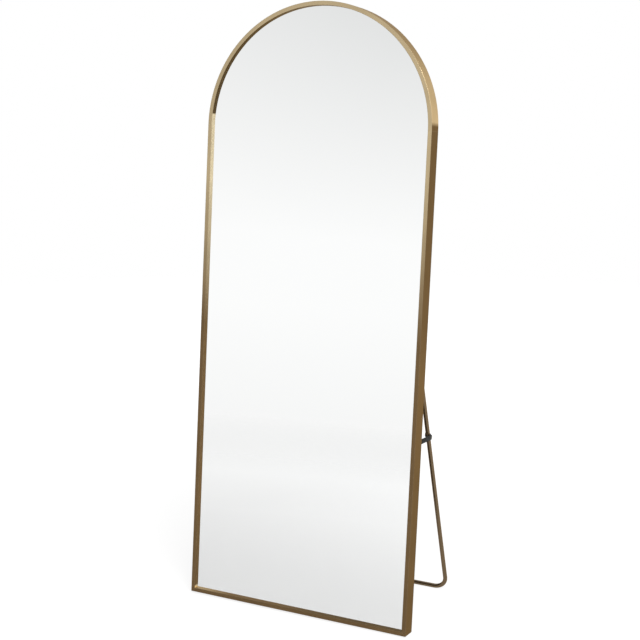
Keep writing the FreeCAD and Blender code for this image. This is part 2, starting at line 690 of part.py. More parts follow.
def make_leg_tube():
    """One tube bent to a U. Its ends stand above the hinge axis, its bar lies on the floor. The uprights are
    bored; the closed bends and bar stay solid."""
    body = new_body("leg_tube")
    half = number("leg_half_width")
    radius = number("bend_radius")
    bottom = -number(LEG_LENGTH)
    top = number("tube_above")
    path = new_sketch(body, "XZ_Plane")
    up = FreeCAD.Vector(0, 0, 1)
    left_bend = Part.ArcOfCircle(Part.Circle(FreeCAD.Vector(radius - half, bottom + radius, 0), up, radius),
                                 math.pi, 1.5 * math.pi)
    right_bend = Part.ArcOfCircle(Part.Circle(FreeCAD.Vector(half - radius, bottom + radius, 0), up, radius),
                                  1.5 * math.pi, 2 * math.pi)
    path.addGeometry(Part.LineSegment(FreeCAD.Vector(-half, top, 0), left_bend.StartPoint), False)
    path.addGeometry(left_bend, False)
    path.addGeometry(Part.LineSegment(left_bend.EndPoint, right_bend.StartPoint), False)
    path.addGeometry(right_bend, False)
    path.addGeometry(Part.LineSegment(right_bend.EndPoint, FreeCAD.Vector(half, top, 0)), False)
    for i in range(4):
        path.addConstraint(Sketcher.Constraint("Tangent", i, 2, i + 1, 1))
    fix_point(path, 0, 1, "-leg_half_width", "tube_above")
    fix_point(path, 4, 2, "leg_half_width", "tube_above")
    fix_point(path, 1, 3, "bend_radius - leg_half_width", f"bend_radius - {LEG_LENGTH}")
    fix_point(path, 3, 3, "leg_half_width - bend_radius", f"bend_radius - {LEG_LENGTH}")
    disc = new_sketch(body, "XY_Plane", "tube_above")
    circle(disc, "-leg_half_width", "0", "tube_diameter / 2")
    sweep = body.newObject("PartDesign::AdditivePipe", "leg_sweep")
    sweep.Profile = disc
    sweep.Spine = (path, [f"Edge{i}" for i in range(1, 6)])
    bores = new_sketch(body, "XY_Plane", "tube_above")
    for side in SIDES.values():
        circle(bores, f"{side} * leg_half_width", "0", "tube_diameter / 2 - tube_wall")
    pocket = body.newObject("PartDesign::Pocket", "leg_bores")
    pocket.Profile = bores
    pocket.setExpression("Length", bound(f"{LEG_LENGTH} + tube_above - bend_radius"))
    holes = new_sketch(body, "YZ_Plane")
    circle(holes, "0", "0", "pin_diameter / 2 + pin_play")
    cut_through(body, holes)
    body.Placement = on_leg()


def make_leg_plugs():
    """Caps in the tube's open ends."""
    up = FreeCAD.Vector(0, 0, 1)
    plugs = []
    for side in SIDES.values():
        top = FreeCAD.Vector(side * number("leg_half_width"), 0, number("tube_above"))
        cap = Part.makeCylinder(number("tube_diameter / 2"), number("plug_cap"), top)
        stem = stud(number("tube_diameter / 2 - tube_wall"), number("plug_depth"), top, up * -1)
        plugs.append(cap.fuse(stem))
    group("leg_plugs", plugs, on_leg())


def make_stop_rivets():
    """Rivet heads on the tube's inner side, against which the collars stand when the leg is open."""
    radius = number("stop_diameter / 2")
    along_leg = number("stay_along_leg - collar_height / 2 - screw_play") - radius
    tube = number("tube_diameter / 2")
    rivets = []
    for side in SIDES.values():
        centre = FreeCAD.Vector(side * number("leg_half_width"), 0, -along_leg)
        rivet = stud(radius, tube + number("stop_height"), centre, FreeCAD.Vector(-side, 0, 0))
        below = centre - FreeCAD.Vector(0, 0, 2 * radius)
        rivets.append(rivet.cut(Part.makeCylinder(tube, 4 * radius, below)))
    group("stop_rivets", rivets, on_leg())


# --- assembly -------------------------------------------------------------------------------------

def main():
    make_arch()
    make_bottom_rail()
    make_panel("mirror_glass", "glass_thick", PANEL_FRONT)
    make_panel("foam_sheet", "foam_thick", f"{PANEL_FRONT} + glass_thick")
    make_panel("back_board", "board_thick", f"{PANEL_FRONT} + glass_thick + foam_thick")
    make_clips()
    make_key_screws()
    for name, side in SIDES.items():
        make_side_rail(name, side)
        make_corner_key(name, side)
        make_splice_key(name, side)
        make_hinge_bracket(name, side)
        make_hinge_pin(name, side)
        make_stay_plate(name, side)
        make_stay_pivot(name, side)
        make_stay_link(name, side)
        make_stay_rivet(name, side)
        make_collar(name, side)
    make_hinge_spacers()
    make_bracket_fasteners()
    make_leg_tube()
    make_leg_plugs()
    make_stop_rivets()
    doc.removeObject("Probe")
    doc.recompute()
    for thing in doc.Objects:
        if "Invalid" in thing.State or "Error" in thing.State:
            raise RuntimeError(f"{thing.Label}: {thing.State}")
    os.makedirs("parts", exist_ok=True)
    for node in nodes:
        if node.Shape.isNull() or not node.Shape.isValid():
            raise RuntimeError(f"{node.Label}: no valid shape")
        node.Shape.exportStep(f"parts/{node.Label}.step")
        box = node.Shape.BoundBox
        print(f"{node.Label:22s} {node.Shape.Volume:12.1f} mm3  x {box.XMin:8.2f} {box.XMax:8.2f}"
              f"  y {box.YMin:8.2f} {box.YMax:8.2f}  z {box.ZMin:8.2f} {box.ZMax:8.2f}")


main()
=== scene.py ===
import json
import math

import bpy
from bpy.props import FloatProperty, FloatVectorProperty, PointerProperty
from mathutils import Matrix, Vector


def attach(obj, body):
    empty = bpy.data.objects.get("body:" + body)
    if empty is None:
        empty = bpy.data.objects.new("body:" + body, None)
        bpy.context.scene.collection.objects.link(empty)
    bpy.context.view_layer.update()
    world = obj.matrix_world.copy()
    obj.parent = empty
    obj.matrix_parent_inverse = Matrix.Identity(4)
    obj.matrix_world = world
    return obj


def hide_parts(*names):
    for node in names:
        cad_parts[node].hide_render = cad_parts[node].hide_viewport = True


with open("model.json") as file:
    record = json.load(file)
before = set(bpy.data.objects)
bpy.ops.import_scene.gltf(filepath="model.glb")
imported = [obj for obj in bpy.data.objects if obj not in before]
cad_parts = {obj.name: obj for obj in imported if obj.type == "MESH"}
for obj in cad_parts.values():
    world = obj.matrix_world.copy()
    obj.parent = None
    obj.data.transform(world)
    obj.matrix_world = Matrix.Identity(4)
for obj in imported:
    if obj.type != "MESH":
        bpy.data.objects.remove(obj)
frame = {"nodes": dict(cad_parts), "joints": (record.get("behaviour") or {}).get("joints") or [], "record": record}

bl_info = {
    "name": "Leaning floor mirror",
    "version": (1, 0, 0),
    "blender": (4, 5, 0),
    "location": "View3D > Sidebar > Floor Mirror",
    "description": "Dresses the CAD model of a leaning floor mirror with finishes and fine pieces",
    "category": "Object",
}

NODES = frame["nodes"]
JOINTS = {joint["name"]: joint for joint in frame["joints"]}
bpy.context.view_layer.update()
SIDES = {"left": -1, "right": 1}

# Metres: heads and shanks, where the seats of the pins lie from the mirror's middle, plugs, clips and edges.
BRACKET_SCREW = {"radius": 0.0037, "height": 0.0022, "shank": 0.002, "shank_length": 0.004}
BOARD_SCREW = {"radius": 0.003, "height": 0.0018, "shank": 0.0015, "shank_length": 0.0015}
BRACKET_CROSS = {"cross_length": 0.0042, "cross_width": 0.0009, "cross_depth": 0.0012}
BOARD_CROSS = {"cross_length": 0.0034, "cross_width": 0.0008, "cross_depth": 0.001, "turn_seed": 11}
HINGE_PIN = {"radius": 0.0045, "height": 0.002, "shank": 0.0025, "shank_length": 0.021}
STOP_RIVET = {"radius": 0.0025, "height": 0.0028, "shank": 0.0018, "shank_length": 0.001}
SHOULDERED_SHANK = [(0, -0.0044), (0.0025, -0.0044), (0.0025, -0.0029), (0.004, -0.0029), (0.004, -0.0018),
                    (0.0025, -0.0018), (0.0025, 0)]
HINGE_PIN_SEAT, STUD_SEAT, STOP_SEAT = 0.3303, 0.3469, 0.33325
RIVET_HEAD = (0.004, 0.00115)
PLUG_WALL, PLUG_DEPTH, PLUG_CAP = 0.0011, 0.004, 0.0015
CLIP_CORNER, CLIP_THICK = 0.004, 0.0015
SOFT_EDGE = 0.0003

# The mirror's own frame, from its foot: X to the right, Y to the back from the frame's back edge, Z up the
# frame. The leg's own frame hangs from the hinge axis, with Z up the tube.
FOOT = frame["record"]["mounts"][0]
LEAN = math.atan2(-FOOT["axis"][1], -FOOT["axis"][2])
SWING = math.atan2(JOINTS["collar_left_slide"]["axis"][1], -JOINTS["collar_left_slide"]["axis"][2])
HINGE = Vector(JOINTS["leg_fold"]["pos_m"])
STAY_PIVOT = Vector(JOINTS["stay_left_swing"]["pos_m"])
STAY_DROP = (HINGE - STAY_PIVOT).length
LEANED = Matrix.Rotation(-LEAN, 4, "X")
SWUNG = Matrix.Rotation(SWING, 4, "X")
ON_LEG = Matrix.Translation(HINGE) @ SWUNG


def on_mirror(sizes):
    """Places a piece drawn in the mirror's own frame."""
    foot = Vector(FOOT["pos_m"])
    return Matrix.Translation(foot + LEANED @ Vector((0, sizes.frame_depth / 2, 0))) @ LEANED


# --- sizes, colours and light ---

def number(name, description, default, **limits):
    """A single setting."""
    return FloatProperty(name=name, description=description, default=default, **limits)


def length(name, description, default):
    """A size in metres."""
    return number(name, description, default, min=0, precision=5, unit="LENGTH", subtype="DISTANCE")


def share(name, description, default):
    """A part of one."""
    return number(name, description, default, min=0, max=1, subtype="FACTOR")


def tilt(name, description, degrees):
    """An angle."""
    return number(name, description, math.radians(degrees), subtype="ANGLE", unit="ROTATION")


def triple(name, description, default, **kind):
    """A setting of three numbers."""
    return FloatVectorProperty(name=name, description=description, default=default, size=3, **kind)


def colour(name, description, default):
    """A surface colour, in linear light."""
    return triple(name, description, default, min=0, max=1, subtype="COLOR")


def location(name, description, default):
    """A point in the scene, in metres."""
    return triple(name, description, default, subtype="TRANSLATION", unit="LENGTH")


class FloorMirrorSizes(bpy.types.PropertyGroup):
    """The sizes that the fine pieces share with the CAD model."""
    frame_width: length("Frame width", "Across the frame's outer faces", 0.711)
    frame_height: length("Frame height", "Along the leaning frame", 1.778)
    frame_depth: length("Frame depth", "From the lip's face to the back edge", 0.048)
    tube_diameter: length("Tube diameter", "Outside of the leg's tube", 0.0127)
    tube_above: length("Tube above", "From the hinge axis to the tube's ends", 0.007)
    leg_half_width: length("Leg half width", "From the middle to the middle of an upright", 0.339)
    leg_length: length("Leg length", "From the hinge axis to the middle of the bar", 0.814696)
    bend_radius: length("Bend radius", "Middle line of the tube's bends", 0.042)
    stay_along_leg: length("Stay on leg", "From the hinge axis down to the collar's middle",
                           STAY_DROP / math.cos(LEAN + SWING))
    link_width: length("Link width", "Across the stay's flat strip", 0.015)
    link_thick: length("Link thickness", "Sheet of the stay's strip", 0.0015)
    link_inner: length("Link plane", "From the middle of the mirror to the strip's inner face", 0.34705)
    link_length: length("Link length", "Between the stay's two pivots", STAY_DROP * math.tan(LEAN + SWING))
    collar_height: length("Collar height", "Length of the sliding collar", 0.016)
    collar_flange: length("Collar flange", "Radius of the collar's flanges", 0.0092)
    collar_waist: length("Collar waist", "Radius between the flanges", 0.0076)
    flange_height: length("Flange height", "Height of each flange", 0.0042)
    flange_soft: length("Flange edge", "How far the flanges' edges are rounded", 0.0009)
    collar_flat: length("Collar flat", "From the tube's middle to the collar's flat side", 0.00775)
    collar_play: length("Collar play", "Gap between the collar's bore and the tube", 0.0002)


class FloorMirrorFinish(bpy.types.PropertyGroup):
    """The colours and roughness of the finishes, with the painted highlights and painted shade of the frame."""
    rail_colour: colour("Rails", "Anodised rails", (0.160, 0.097, 0.043))
    # Painted highlight on the lips of the rails and the arch towards the top, and painted sheen at the left end of
    # the bottom rail's inner wall.
    painted_highlight_colour: colour("Painted highlight gold", "The rails' lips near the arch", (0.58, 0.455, 0.27))
    # Painted highlight on the arch's outer side; where that side faces up it takes a dimmer painted sheen.
    arch_side_highlight_colour: colour("Arch side", "Outer side of the bent arch", (0.82, 0.635, 0.365))
    arch_top_sheen_colour: colour("Arch top", "Outer side of the arch where it faces up", (0.42, 0.31, 0.16))
    # Painted shade on the arch's inner wall and on the right of the bottom rail's inner wall.
    painted_shade_colour: colour("Arch inside", "Inner wall of the bent arch", (0.052, 0.032, 0.013))
    # Painted highlight on the side rails' inner walls near the arch and at the foot of the arch's inner wall, and
    # the painted glint in the lower left corner.
    wall_highlight_colour: colour("Inner wall", "Inner walls of the side rails near the arch", (0.72, 0.62, 0.42))
    tube_colour: colour("Leg tube", "Anodised tube of the leg", (0.185, 0.128, 0.075))
    rail_roughness: share("Rail roughness", "Micro-roughness of the brushed rails", 0.36)
    tube_roughness: share("Tube roughness", "Micro-roughness of the leg's tube", 0.22)
    glass_colour: colour("Mirror", "Silvering under the pane", (0.972, 0.978, 0.975))
    board_colour: colour("Board", "Stained fibreboard", (0.100, 0.068, 0.042))
    foam_colour: colour("Foam", "Foam sheet behind the pane", (0.78, 0.78, 0.76))
    zinc_colour: colour("Zinc", "Zinc plate on screws and clips", (0.60, 0.60, 0.58))
    black_colour: colour("Black", "Paint on the stays and brackets", (0.016, 0.015, 0.012))
    nylon_colour: colour("Nylon", "Moulded collars and plugs", (0.014, 0.013, 0.012))
    rivet_colour: colour("Rivet", "Plated rivets", (0.20, 0.18, 0.15))
    # On the frame the bright edges are a painted edge highlight as well as wear.
    wear: share("Wear", "How far the edges are rubbed bright", 0.35)
    dust: share("Dust", "How much dust lies on what faces up", 0.10)


class FloorMirrorStage(bpy.types.PropertyGroup):
    """Floor, lights and camera."""
    lens: number("Lens", "Focal length for a 36 mm sensor, in millimetres", 72.78, min=1)
    camera_place: location("Camera", "Where the camera stands", (1.6669, -3.3496, 1.6455))
    camera_tilt: tilt("Tilt", "Downward tilt of the camera", 10.64)
    camera_turn: tilt("Turn", "Turn of the camera to the left", 26.55)
    camera_shift: number("Shift", "Vertical lens shift", -0.0469)
    key_power: number("Key light", "Power of the large overhead light", 180, min=0, unit="POWER")
    key_place: location("Key place", "Where the overhead light hangs", (2.3, -2.8, 3.9))
    room_light: number("Room light", "Strength of the light from all round", 0.5, min=0)
    floor_glow: number("Floor glow", "How far the floor is lifted to white", 0.46, min=0)
    floor_radius: length("Floor", "Radius of the floor", 6.0)


# --- shader nodes ---

def put(tree, kind, inputs, **settings):
    """Adds a node with its settings. Each input is joined to a socket or set to a value."""
    made = tree.nodes.new(kind)
    for name, value in settings.items():
        setattr(made, name, value)
    for key, value in inputs.items():
        if isinstance(value, bpy.types.NodeSocket):
            tree.links.new(value, made.inputs[key])
        else:
            made.inputs[key].default_value = value
    return made


def step(tree, kind, inputs, **settings):
    """Adds a node and gives its first output."""
    return put(tree, kind, inputs, **settings).outputs[0]


def maths(tree, operation, first, second=0.0):
    return step(tree, "ShaderNodeMath", {0: first, 1: second}, operation=operation)


def product(tree, first, second):
    return maths(tree, "MULTIPLY", first, second)


def vector_maths(tree, operation, first, second=(0, 0, 0)):
    made = put(tree, "ShaderNodeVectorMath", {0: first, 1: second}, operation=operation)
    return made.outputs["Value" if operation in ("DOT_PRODUCT", "LENGTH") else "Vector"]


def split(tree, vector):
    return put(tree, "ShaderNodeSeparateXYZ", {0: vector}).outputs


def combine(tree, x, y, z):
    return step(tree, "ShaderNodeCombineXYZ", {"X": x, "Y": y, "Z": z})


def noise(tree, vector, scale, detail, distortion=0.0):
    return step(tree, "ShaderNodeTexNoise", {"Vector": vector, "Scale": scale, "Detail": detail,
                                             "Distortion": distortion})


def voronoi(tree, vector, scale):
    return step(tree, "ShaderNodeTexVoronoi", {"Vector": vector, "Scale": scale})


def surface_normal(tree):
    return tree.nodes.new("ShaderNodeNewGeometry").outputs["Normal"]


def object_place(tree):
    return tree.nodes.new("ShaderNodeTexCoord").outputs["Object"]


def blend_colour(tree, factor, first, second):
    """Mixes two colours, each given as a socket or as red, green and blue."""
    colours = [value if isinstance(value, bpy.types.NodeSocket) else (*value, 1) for value in (first, second)]
    return put(tree, "ShaderNodeMix", {"Factor": factor, 6: colours[0], 7: colours[1]},
               data_type="RGBA").outputs[2]


def ramp(tree, factor, low, high, start=0.0, end=1.0):
    """Maps a range onto another, held at its ends."""
    return step(tree, "ShaderNodeMapRange", {"Value": factor, "From Min": low, "From Max": high,
                                             "To Min": start, "To Max": end})


def scaled(parts, factor):
    return [factor * part for part in parts]


def new_group(name, inputs, outputs):
    """An empty shader node group with named sockets: its tree, its input sockets and its output node."""
    tree = bpy.data.node_groups.new(name, "ShaderNodeTree")
    tree.interface.new_socket("Vector", in_out="INPUT", socket_type="NodeSocketVector")
    for label, value in inputs.items():
        tree.interface.new_socket(label, in_out="INPUT", socket_type="NodeSocketFloat").default_value = value
    for label in outputs:
        tree.interface.new_socket(label, in_out="OUTPUT", socket_type="NodeSocketFloat")
    return tree, tree.nodes.new("NodeGroupInput").outputs, tree.nodes.new("NodeGroupOutput")


def brushed_lines(name):
    """Fine parallel lines, drawn out along the vector's Z."""
    tree, given, out = new_group(name, {"Lines per metre": 2500, "Length": 0.12}, ("Lines", "Patches"))
    density = given["Lines per metre"]
    across = combine(tree, density, density, maths(tree, "DIVIDE", 1.0, given["Length"]))
    stretched = vector_maths(tree, "MULTIPLY", given["Vector"], across)
    tree.links.new(noise(tree, stretched, 1.0, 2.0), out.inputs["Lines"])
    tree.links.new(noise(tree, given["Vector"], 9.0, 2.0), out.inputs["Patches"])
    return tree


def edge_wear_and_highlight(name):
    """A mask of the sharp edges, broken up so that it isn't even: rubbed wear, and on the frame a painted edge
    highlight.
    """
    tree, given, out = new_group(name, {"Width": 0.0008, "Amount": 0.3}, ("Mask",))
    soft = step(tree, "ShaderNodeBevel", {"Radius": given["Width"]}, samples=4)
    edge = ramp(tree, vector_maths(tree, "DOT_PRODUCT", soft, surface_normal(tree)), 0.99, 0.80)
    uneven = ramp(tree, noise(tree, given["Vector"], 60.0, 3.0), 0.35, 0.6, 0.4, 1.0)
    broken = product(tree, edge, uneven)
    tree.links.new(product(tree, broken, given["Amount"]), out.inputs["Mask"])
    return tree


def settled_dust(name):
    """A mask of dust on whatever faces up."""
    tree, given, out = new_group(name, {"Amount": 0.1}, ("Mask",))
    up = ramp(tree, split(tree, surface_normal(tree))["Z"], 0.3, 0.95)
    fine = ramp(tree, noise(tree, given["Vector"], 450.0, 4.0), 0.4, 0.7, 0.3, 1.0)
    lying = product(tree, up, fine)
    tree.links.new(product(tree, lying, given["Amount"]), out.inputs["Mask"])
    return tree


SHARED_GROUPS = {"Brushed lines": brushed_lines, "Edge wear and highlight": edge_wear_and_highlight, "Settled dust": settled_dust}


def use_group(tree, name, **inputs):
    """Places a shared group, which is made on its first use. The call names its inputs."""
    group = bpy.data.node_groups.get(name) or SHARED_GROUPS[name](name)
    return put(tree, "ShaderNodeGroup", inputs, node_tree=group).outputs


def new_material(name, values):
    """A material with its tree, its shader set to the values, and its object coordinates."""
    made = bpy.data.materials.new(name)
    made.use_nodes = True
    tree = made.node_tree
    shader = tree.nodes["Principled BSDF"]
    for label, value in values.items():
        shader.inputs[label].default_value = value
    return made, tree, shader, object_place(tree)


def shade(tree, shader, base, roughness):
    """Joins a base colour and a roughness to the shader."""
    tree.links.new(base, shader.inputs["Base Color"])
    tree.links.new(roughness, shader.inputs["Roughness"])


def bumped(tree, shader, height, distance, strength):
    bump = step(tree, "ShaderNodeBump", {"Height": height, "Distance": distance, "Strength": strength})
    tree.links.new(bump, shader.inputs["Normal"])


def rubbed(tree, place, base, bright, wear, width=0.0008):
    """A colour that is rubbed to a bright one along the edges: wear, and on the frame a painted edge highlight."""
    edge = use_group(tree, "Edge wear and highlight", Vector=place, Width=width, Amount=wear)["Mask"]
    return blend_colour(tree, edge, base, bright)


def dusted(tree, place, base, dust, grey=(0.5, 0.49, 0.47)):
    """A colour with dust on what faces up."""
    settled = use_group(tree, "Settled dust", Vector=place, Amount=dust)["Mask"]
    return blend_colour(tree, settled, base, grey)


def turned_about_x(tree, place, angle):
    return step(tree, "ShaderNodeVectorRotate", {"Vector": place, "Axis": (1, 0, 0), "Angle": angle},
                rotation_type="AXIS_ANGLE")


def along_mirror(tree, place):
    """Object coordinates turned so that Z runs up the leaning frame."""
    return turned_about_x(tree, place, LEAN)


def along_leg(tree, place):
    """Object coordinates turned so that Z runs up the leg."""
    return turned_about_x(tree, place, -SWING)


def sideways(tree, place):
    """Object coordinates with Z along the bottom rail."""
    parts = split(tree, along_mirror(tree, place))
    return combine(tree, parts["Z"], parts["Y"], parts["X"])


# --- materials ---

# How the anodised finish colours what it mirrors at a glancing angle.
EDGE_TINT = (0.85, 0.66, 0.46)


def anodised(name, finish, roughness, vector_of, base_and_painted_light, relief=0.2):
    """Brushed, coloured aluminium. vector_of turns the pattern along the piece, and the function after it colours
    its faces: the finish's own colour, with painted highlights and painted shade on the frame.
    """
    made, tree, shader, place = new_material(
        name, {"Metallic": 0.92, "Anisotropic": 0.3, "Specular Tint": (*EDGE_TINT, 1)})
    grain = use_group(tree, "Brushed lines", Vector=vector_of(tree, place))
    streaks = ramp(tree, grain["Lines"], 0.3, 0.7, 0.0, 0.07)
    patches = ramp(tree, grain["Patches"], 0.35, 0.7, 0.0, 0.15)
    # The frame's faces bring their painted highlights and painted shade in here.
    lighter = blend_colour(tree, streaks, base_and_painted_light(tree), (0.75, 0.60, 0.36))
    darker = blend_colour(tree, patches, lighter, (0.03, 0.018, 0.006))
    # On the frame the bright edges are a painted edge highlight as well as wear.
    worn = rubbed(tree, place, darker, (0.80, 0.70, 0.52), finish.wear)
    shade(tree, shader, dusted(tree, place, worn, finish.dust, (0.55, 0.53, 0.50)),
          ramp(tree, grain["Lines"], 0.25, 0.75, roughness - 0.05, roughness + 0.07))
    bumped(tree, shader, grain["Lines"], 0.00003, relief)
    return made


def plain_metal(name, base, metallic, roughness, wear, dust, bright, gloss=0.5):
    """Painted, plated or zinc-coated steel with small blotches, rubbed to a bright metal at its edges."""
    made, tree, shader, place = new_material(name, {"Metallic": metallic, "Specular IOR Level": gloss})
    blotch = noise(tree, place, 140.0, 5.0)
    mottled = blend_colour(tree, ramp(tree, blotch, 0.35, 0.7, 0.0, 0.35), base, scaled(base, 0.55))
    worn = rubbed(tree, place, mottled, bright, wear, 0.0004)
    shade(tree, shader, dusted(tree, place, worn, dust),
          ramp(tree, blotch, 0.3, 0.7, roughness - 0.06, roughness + 0.08))
    bumped(tree, shader, noise(tree, place, 1400.0, 2.0), 0.00004, 0.35)
    return made


def plated(name, roughness, finish):
    """Dull plating on rivets and pins."""
    return plain_metal(name, finish.rivet_colour, 0.9, roughness, finish.wear, finish.dust, (0.7, 0.66, 0.6))


def nylon(name, finish):
    """Moulded plastic with a fine spark-eroded grain."""
    made, tree, shader, place = new_material(name, {"Specular IOR Level": 0.25})
    base = finish.nylon_colour
    grain = noise(tree, place, 1800.0, 3.0)
    cloud = ramp(tree, noise(tree, place, 90.0, 2.0), 0.3, 0.7, 0.0, 0.4)
    tinted = blend_colour(tree, cloud, base, scaled(base, 1.9))
    shade(tree, shader, dusted(tree, place, tinted, finish.dust), ramp(tree, grain, 0.3, 0.7, 0.45, 0.58))
    bumped(tree, shader, grain, 0.00005, 0.4)
    return made


def silvered_glass(name, base):
    """The pane: near-perfect silvering, a green tinge where the glass's edge shows, a breath of dust."""
    made, tree, shader, place = new_material(name, {"Metallic": 1.0})
    forwards = (0, -math.cos(LEAN), math.sin(LEAN))
    rim = ramp(tree, vector_maths(tree, "DOT_PRODUCT", surface_normal(tree), forwards), 0.9, 0.6)
    haze = noise(tree, place, 3.0, 4.0)
    silver = blend_colour(tree, ramp(tree, haze, 0.3, 0.75, 0.0, 0.05), base, (0.88, 0.90, 0.90))
    shade(tree, shader, blend_colour(tree, rim, silver, (0.22, 0.42, 0.34)),
          ramp(tree, haze, 0.3, 0.8, 0.004, 0.022))
    return made


def fibreboard(name, base):
    """Pressed board: short pale fibres and dark flecks on a brown ground."""
    made, tree, shader, place = new_material(name, {})
    vector = along_mirror(tree, place)
    fibre = noise(tree, vector, 420.0, 5.0, 0.7)
    pale = blend_colour(tree, ramp(tree, fibre, 0.4, 0.65, 0.0, 0.8), base, scaled(base, 2.2))
    fleck = ramp(tree, voronoi(tree, vector, 420.0), 0.16, 0.05, 0.0, 0.6)
    dark = blend_colour(tree, fleck, pale, scaled(base, 0.4))
    cloud = ramp(tree, noise(tree, vector, 6.0, 5.0), 0.4, 0.6, 0.0, 0.6)
    shade(tree, shader, blend_colour(tree, cloud, dark, scaled(base, 0.6)),
          ramp(tree, fibre, 0.3, 0.7, 0.72, 0.9))
    bumped(tree, shader, fibre, 0.0001, 0.5)
    return made


def foam(name, base):
    """Closed-cell foam sheet."""
    made, tree, shader, place = new_material(name, {})
    cells = voronoi(tree, place, 900.0)
    shade(tree, shader, blend_colour(tree, ramp(tree, cells, 0.0, 0.5, 0.0, 0.3), base, scaled(base, 0.7)),
          ramp(tree, cells, 0.0, 0.6, 0.8, 0.95))
    bumped(tree, shader, cells, 0.0002, 0.4)
    return made


# --- the frame's painted highlights and shade ---

# How far above the joints the bend's painted highlight starts on its outer side, and its painted shade on its
# inner wall.
SIDE_RISE = 0.020
WALL_RISE = 0.032
# Heights between which the rails' lips and inner walls lighten towards the arch with a painted highlight.
LIP_HIGHLIGHT_FADE = (0.82, 1.25)
# Heights between which the painted glint in the lower left corner ends.
GLINT_FADE = (0.007, 0.002)
# Places across the bottom rail between which its inner wall loses its painted sheen and then darkens to painted
# shade.
SHINE_FADE = (-0.35, -0.22)
SHADE_FADE = (-0.15, 0.12)


def from_arch_middle(tree, vector, arch_base):
    """A vector's X, its depth and its height above the middle of the arch's circle."""
    parts = split(tree, vector)
    return parts["X"], parts["Y"], maths(tree, "SUBTRACT", parts["Z"], arch_base)


def around_arch(arch_base):
    """Coordinates that follow the bend: distance from its middle, depth, and length along it."""
    def vector_of(tree, place):
        across, depth, height = from_arch_middle(tree, along_mirror(tree, place), arch_base)
        radius = vector_maths(tree, "LENGTH", combine(tree, across, 0.0, height))
        angle = maths(tree, "ARCTAN2", height, across)
        return combine(tree, radius, depth, product(tree, angle, 0.35))
    return vector_of


def arch_painted_light(finish, arch_base):
    """A painted highlight on the outer side and painted shade on the inner wall, from a little above the joints
    with the rails, and a painted highlight on the lips.
    """
    def base_and_painted_light(tree):
        across, _, height = from_arch_middle(tree, along_mirror(tree, object_place(tree)), arch_base)
        outwards = vector_maths(tree, "NORMALIZE", combine(tree, across, 0.0, height))
        agree = vector_maths(tree, "DOT_PRODUCT", outwards, along_mirror(tree, surface_normal(tree)))
        # The painted highlight is brightest where the outer side faces sideways and dimmer where it faces up.
        climb = ramp(tree, split(tree, outwards)["Z"], 0.35, 0.8)
        lit = blend_colour(tree, climb, finish.arch_side_highlight_colour, finish.arch_top_sheen_colour)
        side_above = ramp(tree, height, SIDE_RISE - 0.007, SIDE_RISE + 0.005)
        wall_above = ramp(tree, height, WALL_RISE - 0.002, WALL_RISE + 0.002)
        side = blend_colour(tree, side_above, finish.rail_colour, lit)
        wall = blend_colour(tree, wall_above, finish.wall_highlight_colour, finish.painted_shade_colour)
        outer = blend_colour(tree, ramp(tree, agree, 0.4, 0.8), finish.painted_highlight_colour, side)
        return blend_colour(tree, ramp(tree, agree, -0.4, -0.8), outer, wall)
    return base_and_painted_light


def rail_painted_light(finish):
    """Painted highlights on the lips and inner walls that brighten towards the arch, with a painted glint in the
    lower left corner.
    """
    def base_and_painted_light(tree):
        parts = split(tree, along_mirror(tree, object_place(tree)))
        across = split(tree, surface_normal(tree))["X"]
        inwards = product(tree, across, maths(tree, "SIGN", parts["X"]))
        wall = ramp(tree, inwards, -0.6, -0.9)
        on_left = maths(tree, "LESS_THAN", parts["X"], 0.0)
        # Painted glint on the left rail's inner wall at its foot.
        glint = product(tree, ramp(tree, parts["Z"], *GLINT_FADE), on_left)
        lip = ramp(tree, maths(tree, "ABSOLUTE", across), 0.8, 0.3)
        high = ramp(tree, parts["Z"], *LIP_HIGHLIGHT_FADE)
        front = product(tree, lip, high)
        lips = blend_colour(tree, front, finish.rail_colour, finish.painted_highlight_colour)
        pale = product(tree, wall, maths(tree, "MAXIMUM", high, glint))
        return blend_colour(tree, pale, lips, finish.wall_highlight_colour)
    return base_and_painted_light


def bottom_painted_light(finish):
    """An inner wall with a painted sheen at its left end and painted shade towards the right."""
    def base_and_painted_light(tree):
        across = split(tree, object_place(tree))["X"]
        up = ramp(tree, split(tree, surface_normal(tree))["Z"], 0.6, 0.9)
        # Painted sheen at the left end, then painted shade towards the right.
        pale = blend_colour(tree, ramp(tree, across, *SHINE_FADE), finish.painted_highlight_colour, finish.rail_colour)
        wall = blend_colour(tree, ramp(tree, across, *SHADE_FADE), pale, finish.painted_shade_colour)
        return blend_colour(tree, up, finish.rail_colour, wall)
    return base_and_painted_light


# --- meshes ---

def in_scene(name, data):
    """A new object for a mesh, curve, light or camera."""
    made = bpy.data.objects.new(name, data)
    bpy.context.scene.collection.objects.link(made)
    return made


def new_piece(name, mesh, body, material, replaced):
    """A mesh, smoothed, as a piece that rides on a body, takes a slot's finish and replaces CAD nodes."""
    mesh.polygons.foreach_set("use_smooth", [True] * len(mesh.polygons))
    mesh.set_sharp_from_angle(angle=math.radians(32))
    mesh.name = name
    mesh.materials.clear()
    mesh.materials.append(material)
    piece = in_scene(name, mesh)
    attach(piece, body)
    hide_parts(*replaced)


def joined(meshes):
    """One mesh of several, which aren't kept."""
    verts, faces = [], []
    for mesh in meshes:
        start = len(verts)
        verts += [v.co.copy() for v in mesh.vertices]
        faces += [[start + i for i in polygon.vertices] for polygon in mesh.polygons]
        bpy.data.meshes.remove(mesh)
    whole = bpy.data.meshes.new("joined")
    whole.from_pydata(verts, [], faces)
    return whole


